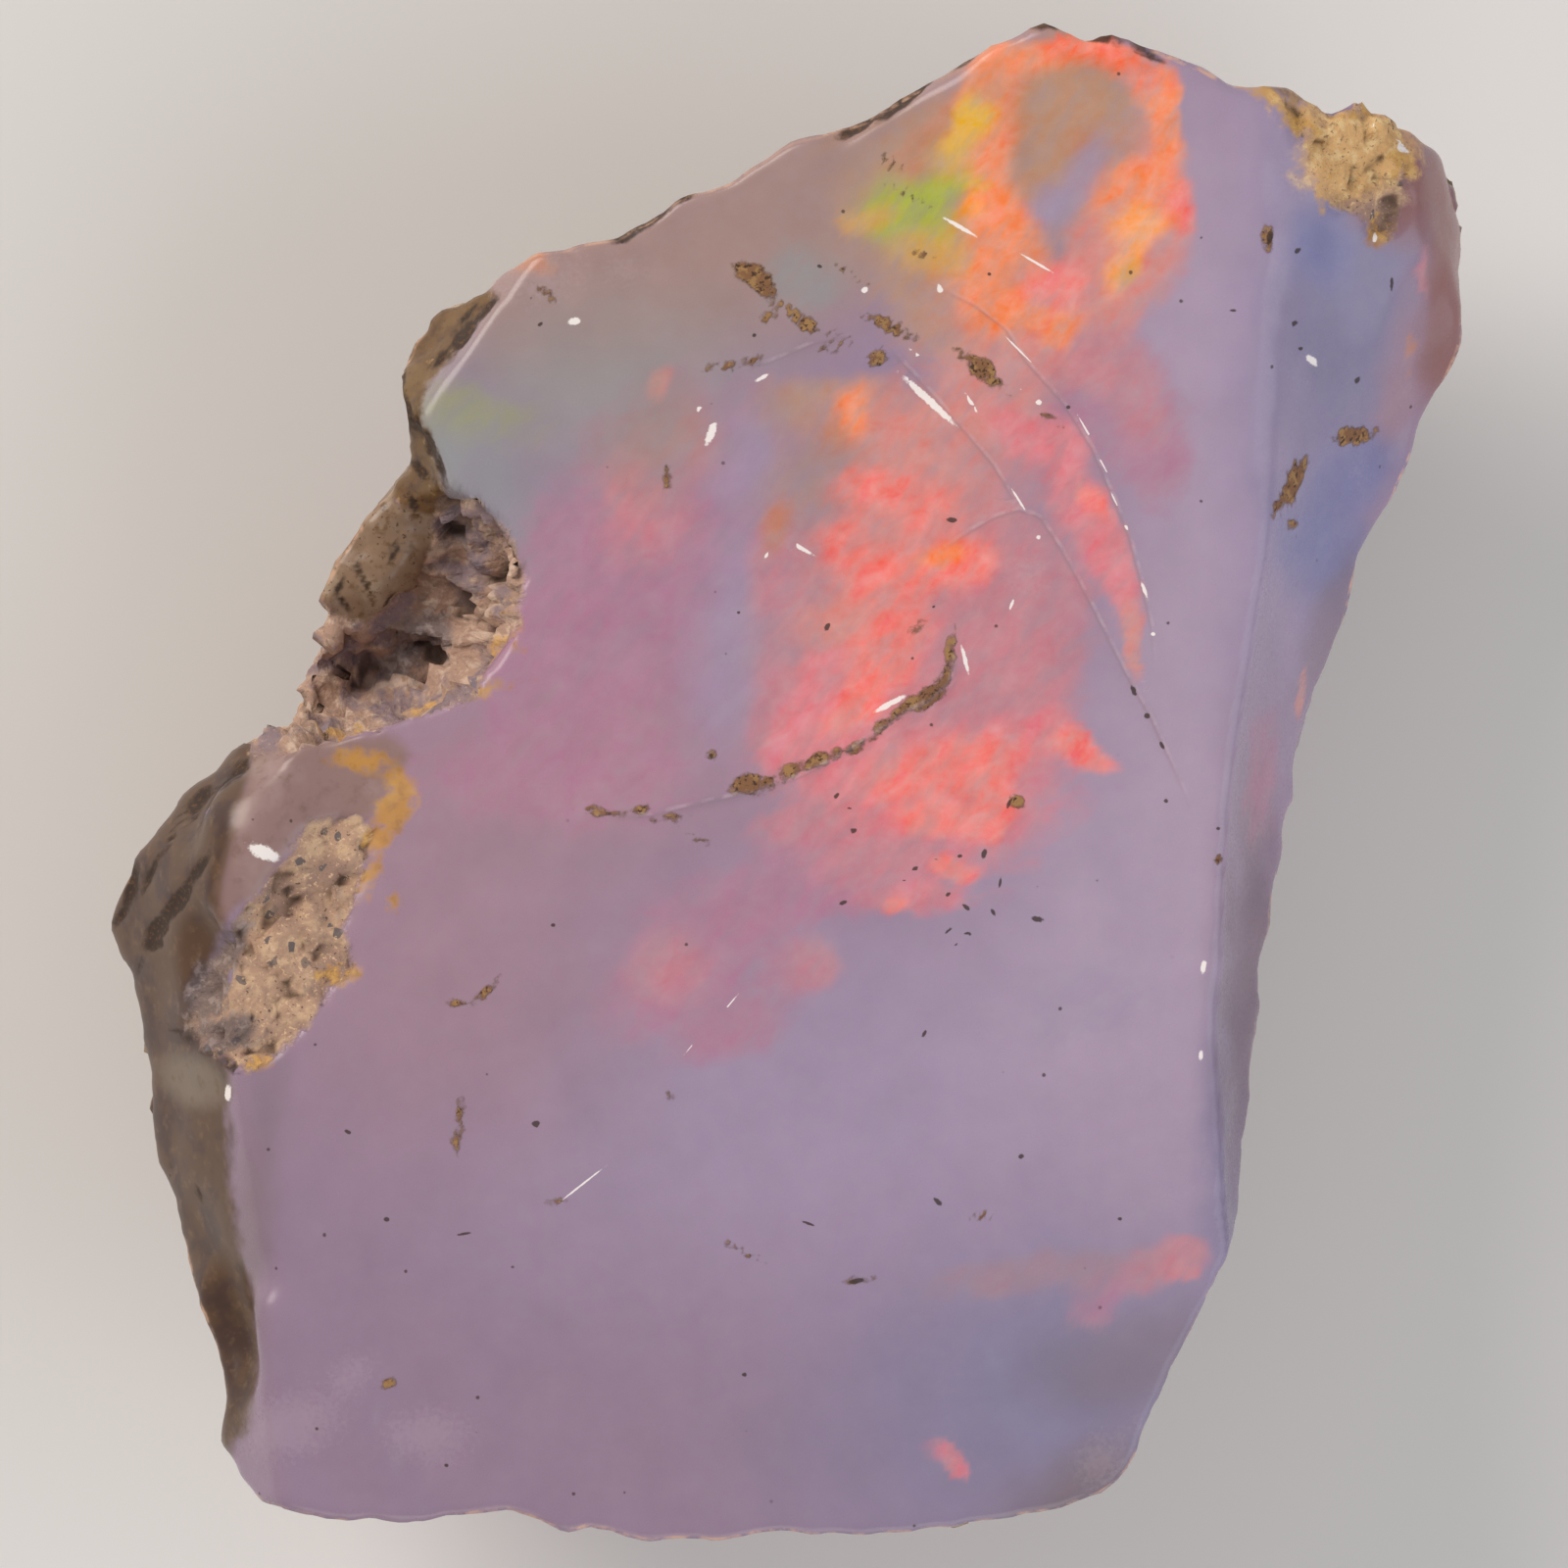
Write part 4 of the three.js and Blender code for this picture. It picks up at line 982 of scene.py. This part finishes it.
def add(tree, kind, inputs=None, **settings):
    """Adds a node and gives its outputs. An input is a value, or the output to link to it."""
    node = tree.nodes.new("ShaderNode" + kind)
    for name, value in settings.items():
        setattr(node, name, value)
    for socket, value in (inputs or {}).items():
        if isinstance(value, bpy.types.NodeSocket):
            tree.links.new(value, node.inputs[socket])
        else:
            node.inputs[socket].default_value = value
    return node.outputs


def blank_material(name):
    """A material by this name and its empty node tree."""
    material = bpy.data.materials.new(name)
    material.use_nodes = True
    material.node_tree.nodes.clear()
    return material, material.node_tree


OPAL_IOR = 1.45      # 1.37 to 1.47 in precious opal
# Patterns of the finish: cells a millimetre, detail, roughness.
PATTERNS = {
    "broad": (1.1, 3, 0.55), "small": (3.6, 4, 0.6), "speck": (11.0, 3, 0.65),
}
# Cells a millimetre: crystals of the host rock, dots, and flakes and streaks of the play of colour.
CRYSTALS = 7.0
DOTS = 1.7
FLAKES = 1.9
STREAKS = 1.5
BUMP_DEEP = 0.09     # millimetres
# Where each layer lies: what it is measured from, the pattern that frays its edge and how much,
# where it starts and where it is full.
MASKS = {
    "flank": ("left_flank", "broad", 0.6, -0.16, 0.12),
    "pale_flank": ("pale_flank", "small", 0.3, -0.1, 0.3),
    "north_edge": ("north_edge", "small", 0.3, -0.06, 0.10),
    "knob": ("knob", "broad", 0.5, -0.14, 0.18),
    "flange": ("flange", "small", 0.3, -0.05, 0.12),
    "lobe": ("lobe", "small", 0.3, -0.05, 0.12),
    "brown_streak_and_shadow": ("brown_streak_and_shadow", "small", 0.12, -0.04, 0.03),
    "potch": ("old_skin", "broad", 0.5, -0.30, 0.0),
    "skin": ("old_skin", "small", 0.35, -0.04, 0.07),
    "scuffed": ("scuffed", "speck", 1.1, 0.10, 0.75),
    "limonite": ("limonite", "small", 0.5, -0.10, 0.10),
    "rock": ("host_rock", "small", 0.4, -0.07, 0.09),
    "pocket": ("pocket", "small", 0.3, -0.05, 0.10),
    "gold_rock": ("gold_rock", "small", 0.8, -0.1, 0.3),
    "grey_rock": ("grey_rock", "small", 0.5, -0.06, 0.18),
    "clay": ("clay", "small", 0.26, -0.02, 0.025),
    "clay_edge": ("clay", "small", 0.28, -0.045, 0.0),
}
# The layers, from the opal up: mask, share, tint, spots on it (tint, pattern, start, end), roughness.
LAYERS = [
    ("flank", 0.92, "#513812", [("#3B2508", "broad", 0.46, 0.62), ("#6C5230", "small", 0.50, 0.80)], 0.32),
    ("pale_flank", 0.75, "#7F7163", [("#6C5D4B", "small", 0.5, 0.7)], 0.35),
    ("north_edge", 0.8, "#7C614A", [("#A08672", "small", 0.5, 0.66)], 0.4),
    ("knob", 0.88, "#8D7068", [("#9A8078", "broad", 0.42, 0.70), ("#7A6052", "small", 0.50, 0.80)], 0.3),
    ("flange", 0.94, "#6A4C20", [
        ("#553A18", "small", 0.46, 0.66), ("#785C34", "broad", 0.48, 0.70), ("#987848", "small", 0.38, 0.28),
        ("#4A331F", "speck", 0.58, 0.70)], 0.28),
    ("lobe", 0.85, "#8A705A", [
        ("#A28C76", "broad", 0.46, 0.62), ("#6E5234", "small", 0.54, 0.70),
        ("#4A331F", "speck", 0.58, 0.70)], 0.28),
    # Brown streaks and cracks, and painted shadow in the pocket.
    ("brown_streak_and_shadow", 0.92, "#2C1A0C", [("#5A3A1C", "speck", 0.52, 0.66)], 0.6),
    ("potch", 0.6, "#A58F80", [("#8F8790", "broad", 0.48, 0.62)], 0.45),
    ("skin", 1.0, "#A08B76", [
        ("#8C7763", "small", 0.46, 0.60), ("#B9A58F", "broad", 0.50, 0.64), ("#77685A", "small", 0.60, 0.72),
        ("#9A7446", "broad", 0.42, 0.33), ("#4A3D33", "speck", 0.62, 0.70)], 0.85),
    ("scuffed", 0.16, "#C9B7C0", [], 0.5),
    ("limonite", 0.85, "#BC8734", [("#A37536", "small", 0.46, 0.70), ("#C99A4C", "broad", 0.45, 0.65)], 0.8),
    ("rock", 1.0, "#B4927A", [
        ("#C8A888", "small", 0.45, 0.62), ("#9C7E6E", "broad", 0.48, 0.64),
        ("#6F635F", "crystals", 0.84, 0.90), ("#D6B492", "speck", 0.42, 0.34),
        ("#5A463A", "speck", 0.62, 0.70)], 0.85),
    ("pocket", 0.65, "#AC8D7E", [("#D2BAAC", "small", 0.48, 0.64), ("#857784", "broad", 0.47, 0.59)], 0.75),
    ("gold_rock", 0.8, "#DDAF70", [("#EBC98E", "small", 0.50, 0.62), ("#A07F5A", "speck", 0.58, 0.66)], 0.8),
    ("grey_rock", 0.75, "#5C5256", [("#85787C", "small", 0.5, 0.66)], 0.6),
    # Painted shade in the hollows between the host rock's grains.
    ("hollow", 0.75, "#4C382B", [], 0.9),
    ("iron_in_rock", 0.8, "#BC8734", [("#D0A25A", "small", 0.5, 0.62)], 0.85),
    ("clay_edge", 0.6, "#5A4230", [], 0.8),
    ("clay", 0.95, "#805A3A", [("#9C774A", "small", 0.50, 0.60), ("#412B1B", "speck", 0.53, 0.61)], 0.9),
    # Painted shade and painted highlight along the steps: a darker line on the low side, a pale line on the
    # high side.
    ("step_shadow", 0.4, "#86707A", [], 0.4),
    ("step_highlight", 0.3, "#D2C0C6", [], 0.4),
    # Painted glow of light through the thin edge: a peach line along the outline.
    ("rim", 0.7, "#E3B596", [], 0.4),
    ("specks", 0.8, "#3A2A22", [], 0.6),
    ("pits", 0.88, "#34241D", [], 0.7),
    # Painted highlights: white glints on the breaks and the knob, with white bruises.
    ("glints_and_bruises", 0.9, "#F4EEEA", [], 0.45),
]


def edge_masks(tree, patterns, up):
    """How far each layer of the surface covers the opal, with its edge frayed by a pattern."""
    masks = {}
    for name, (measured, pattern, fray, start, end) in MASKS.items():
        level = add(tree, "Attribute", attribute_name=measured)["Fac"]
        frayed = add(tree, "Math", {0: patterns[pattern], 1: fray, 2: level}, operation="MULTIPLY_ADD")[0]
        masks[name] = add(tree, "MapRange", {
            "Value": frayed, "From Min": start + fray / 2, "From Max": end + fray / 2},
            interpolation_type="SMOOTHSTEP")[0]
    hollow = add(tree, "Attribute", attribute_name="rock_hollow_shade")["Fac"]
    iron = add(tree, "MapRange", {"Value": patterns["small"], "From Min": 0.46, "From Max": 0.56})[0]
    step = add(tree, "Attribute", attribute_name="step_side")["Fac"]
    near = add(tree, "Attribute", attribute_name="step_near")["Fac"]
    broken = add(tree, "MapRange", {"Value": patterns["small"], "From Min": 0.42, "From Max": 0.62})[0]
    inward = add(tree, "Attribute", attribute_name="rim")["Fac"]
    for name, level, start, end, cover in (
        # Painted shade in the hollows between the rock's grains.
        ("hollow", hollow, 0.68, 0.92, masks["rock"]),
        ("iron_in_rock", masks["limonite"], 0.5, 1.0, iron),
        # Painted shade and painted highlight along the steps: a darker line on each step's low side, a pale
        # line on its high side.
        ("step_shadow", step, 0.09, 0.01, near),
        ("step_highlight", step, 0.03, -0.01, near),
        # The rim is a painted glow: a bright peach line along the outline, where light shines through the
        # thin edge.
        ("rim", inward, 0.075, 0.02, up),
    ):
        edge = add(tree, "MapRange", {
            "Value": level, "From Min": start, "From Max": end}, interpolation_type="SMOOTHSTEP")[0]
        masks[name] = add(tree, "Math", {0: edge, 1: cover}, operation="MULTIPLY")[0]
    # The painted step highlight keeps to a step's high side, the painted step shadow to its low side.
    highs = add(tree, "MapRange", {"Value": step, "From Min": -0.07, "From Max": -0.03})[0]
    lows = add(tree, "MapRange", {"Value": step, "From Min": -0.02, "From Max": 0.03})[0]
    for name, cover in (
        ("iron_in_rock", masks["rock"]), ("step_highlight", highs), ("step_shadow", lows), ("step_highlight", broken), ("rim", broken),
    ):
        masks[name] = add(tree, "Math", {0: masks[name], 1: cover}, operation="MULTIPLY")[0]
    return masks


def mark_masks(tree, mm, patterns, up):
    """Marks too small for the mesh, and other small specks without a place of their own."""
    masks = {}
    fray = add(tree, "Math", {0: patterns["speck"], 1: 1.2, 2: -0.6}, operation="MULTIPLY_ADD")[0]
    # The glints and bruises are partly painted highlight, white where the breaks catch the light, and partly
    # white bruising.
    for name, own in (("pits", "pit_place"), ("glints_and_bruises", "glint_bruise_place")):
        reach = add(tree, "Attribute", attribute_name=own)["Vector"]
        reach = add(tree, "VectorMath", {0: reach}, operation="LENGTH")["Value"]
        reach = add(tree, "Math", {0: reach, 1: fray}, operation="ADD")[0]
        edge = add(tree, "MapRange", {
            "Value": reach, "From Min": 1.2, "From Max": 0.8}, interpolation_type="SMOOTHSTEP")[0]
        masks[name] = add(tree, "Math", {0: edge, 1: up}, operation="MULTIPLY")[0]
    dots = add(tree, "TexVoronoi", {"Vector": mm, "Scale": DOTS})
    reach = add(tree, "Math", {0: fray, 1: 0.06, 2: dots["Distance"]}, operation="MULTIPLY_ADD")[0]
    dot = add(tree, "MapRange", {"Value": reach, "From Min": 0.07, "From Max": 0.045})[0]
    chosen = add(tree, "MapRange", {"Value": dots["Color"], "From Min": 0.66, "From Max": 0.68})[0]
    masks["specks"] = add(tree, "Math", {0: dot, 1: chosen}, operation="MULTIPLY")[0]
    return masks


def glowing_body(tree, mm, patterns):
    """The milky body, with the play of colour in flakes and brush-like streaks inside it."""
    leaning = add(tree, "Mapping", {
        "Vector": mm, "Rotation": (0, 0, math.radians(35)), "Scale": (1.4, 0.9, 1.0)},
        vector_type="TEXTURE")[0]
    flake = add(tree, "TexNoise", {
        "Vector": leaning, "Scale": FLAKES, "Detail": 4, "Roughness": 0.62, "Distortion": 0.6})[0]
    streaked = add(tree, "Mapping", {
        "Vector": mm, "Rotation": (0, 0, math.radians(52)), "Scale": (1.3, 0.5, 0.8)},
        vector_type="TEXTURE")[0]
    streak = add(tree, "TexNoise", {
        "Vector": streaked, "Scale": STREAKS, "Detail": 3, "Roughness": 0.6})[0]
    strength = add(tree, "Attribute", attribute_name="play_strength")["Fac"]
    cover = add(tree, "Math", {0: flake, 1: 1.1, 2: -0.55}, operation="MULTIPLY_ADD")[0]
    cover = add(tree, "Math", {0: strength, 1: 1.05, 2: cover}, operation="MULTIPLY_ADD")[0]
    cover = add(tree, "MapRange", {
        "Value": cover, "From Min": 0.18, "From Max": 0.82}, interpolation_type="SMOOTHSTEP")[0]
    milk = add(tree, "MapRange", {
        "Value": streak, "From Min": 0.42, "From Max": 0.66, "To Min": 1.0, "To Max": 0.62})[0]
    cover = add(tree, "Math", {0: cover, 1: milk}, operation="MULTIPLY")[0]
    body = add(tree, "Attribute", attribute_name="body_tint")["Vector"]
    play = add(tree, "Attribute", attribute_name="play_tint")["Vector"]
    hue = add(tree, "Math", {0: streak, 1: 0.05, 2: 0.478}, operation="MULTIPLY_ADD")[0]
    rich = add(tree, "Math", {0: flake, 1: 0.5, 2: 0.68}, operation="MULTIPLY_ADD")[0]
    play = add(tree, "HueSaturation", {"Color": play, "Hue": hue, "Saturation": rich})[0]
    colour = add(tree, "Mix", {0: cover, 6: body, 7: play}, data_type="RGBA")[2]
    pale = add(tree, "Math", {0: patterns["broad"], 1: 0.18, 2: 0.91}, operation="MULTIPLY_ADD")[0]
    vivid = add(tree, "Math", {0: patterns["small"], 1: 0.3, 2: 0.87}, operation="MULTIPLY_ADD")[0]
    return add(tree, "HueSaturation", {"Color": colour, "Saturation": vivid, "Value": pale})[0]


def milky_opal():
    """Milky precious opal as it broke: glassy shell-shaped fractures over a body that tiny pores
    cloud, so its colours look soft and a little under the surface. Patches of dull granular host
    rock, yellow iron stain and brown clay interrupt the gloss."""
    material, tree = blank_material("milky_opal_fractured")
    place = add(tree, "TexCoord")["Object"]
    mm = add(tree, "VectorMath", {0: place, "Scale": 1 / MM}, operation="SCALE")[0]
    patterns = {
        name: add(tree, "TexNoise", {"Vector": mm, "Scale": scale, "Detail": detail, "Roughness": rough})[0]
        for name, (scale, detail, rough) in PATTERNS.items()}
    crystals = add(tree, "TexVoronoi", {"Vector": mm, "Scale": CRYSTALS})
    patterns["crystals"] = crystals["Color"]
    up = add(tree, "Attribute", attribute_name="upward")["Fac"]
    masks = edge_masks(tree, patterns, up) | mark_masks(tree, mm, patterns, up)
    colour = glowing_body(tree, mm, patterns)

    rough = add(tree, "Math", {0: patterns["small"], 1: 0.14, 2: 0.20}, operation="MULTIPLY_ADD")[0]
    for where, share, tint, spots, dull in LAYERS:
        top = linear(tint)
        for spot, pattern, start, end in spots:
            cover = add(tree, "MapRange", {
                "Value": patterns[pattern], "From Min": start, "From Max": end},
                interpolation_type="SMOOTHSTEP")[0]
            top = add(tree, "Mix", {0: cover, 6: top, 7: linear(spot)}, data_type="RGBA")[2]
        cover = add(tree, "Math", {0: masks[where], 1: share}, operation="MULTIPLY")[0]
        colour = add(tree, "Mix", {0: cover, 6: colour, 7: top}, data_type="RGBA")[2]
        rough = add(tree, "Mix", {0: cover, 2: rough, 3: dull})[0]
    grain = add(tree, "Math", {
        0: crystals["Distance"], 1: 0.6, 2: patterns["speck"]}, operation="MULTIPLY_ADD")[0]
    coarse = add(tree, "Math", {0: masks["rock"], 1: masks["skin"]}, operation="MAXIMUM")[0]
    smooth = add(tree, "Math", {0: patterns["small"], 1: 0.05}, operation="MULTIPLY")[0]
    height = add(tree, "Math", {0: coarse, 1: grain, 2: smooth}, operation="MULTIPLY_ADD")[0]
    height = add(tree, "Math", {0: masks["clay"], 1: 0.5, 2: height}, operation="MULTIPLY_ADD")[0]
    bump = add(tree, "Bump", {"Height": height, "Strength": 0.5, "Distance": BUMP_DEEP * MM})[0]
    shader = add(tree, "BsdfPrincipled", {
        "Base Color": colour, "Roughness": rough, "IOR": OPAL_IOR, "Normal": bump})
    add(tree, "OutputMaterial", {"Surface": shader["BSDF"]})
    return material


def stone_piece():
    """The stone in place of its solid."""
    piece = bpy.data.objects.new("rough_opal_stone", opal_mesh())
    bpy.context.scene.collection.objects.link(piece)
    piece.data.materials.append(milky_opal())
    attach(piece, "root")
    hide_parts("rough_opal")
    return piece


def floor_piece():
    """A pale board just under the stone."""
    half_side = 600 * MM
    gap = 0.02 * MM
    floor = bmesh.new()
    bmesh.ops.create_grid(floor, x_segments=1, y_segments=1, size=half_side)
    bmesh.ops.translate(floor, verts=floor.verts, vec=(0, 0, -gap))
    mesh = bpy.data.meshes.new("floor")
    floor.to_mesh(mesh)
    floor.free()
    piece = bpy.data.objects.new("floor", mesh)
    bpy.context.scene.collection.objects.link(piece)
    material, tree = blank_material("pale_matte_board")
    shader = add(tree, "BsdfPrincipled", {"Base Color": linear("#D9D8D6"), "Roughness": 0.8})
    add(tree, "OutputMaterial", {"Surface": shader["BSDF"]})
    mesh.materials.append(material)


def studio():
    """The camera straight above, three soft lamps and a pale room."""
    scene = bpy.context.scene
    lens = 300.0
    sensor = 36.0
    photo = 1600
    across = photo * PIXEL
    level = 7.6          # height of the broad face, where the photograph's scale holds
    camera = bpy.data.objects.new("camera", bpy.data.cameras.new("camera"))
    scene.collection.objects.link(camera)
    camera.data.lens = lens
    camera.data.sensor_width = sensor
    x, y = seen(photo / 2, photo / 2)
    camera.location = (x * MM, y * MM, (level + across * lens / sensor) * MM)
    camera.data.clip_start = 0.01
    camera.data.clip_end = 5
    scene.camera = camera

    for name, place, size, power, colour in (
        ("key", (-0.14, 0.13, 0.13), 0.16, 0.42, "#FFF6EE"),
        ("fill", (0.16, -0.06, 0.12), 0.22, 0.2, "#EEF2FF"),
        ("low", (0.02, -0.2, 0.08), 0.16, 0.12, "#FFF4EA"),
    ):
        light = bpy.data.lights.new(name, "AREA")
        light.shape = "DISK"
        light.size = size
        light.energy = power
        light.color = linear(colour)[:3]
        lamp = bpy.data.objects.new(name, light)
        lamp.location = place
        aim = Vector((0, 0, 6 * MM)) - Vector(place)
        lamp.rotation_euler = aim.to_track_quat("-Z", "Y").to_euler()
        scene.collection.objects.link(lamp)
    world = bpy.data.worlds.new("soft_room")
    world.use_nodes = True
    world.node_tree.nodes.clear()
    sky = add(world.node_tree, "Background", {"Color": linear("#F4F2F0"), "Strength": 0.42})
    add(world.node_tree, "OutputWorld", {"Surface": sky["Background"]})
    scene.world = world
    scene.view_settings.view_transform = "Standard"


studio()
floor_piece()
stone_piece()
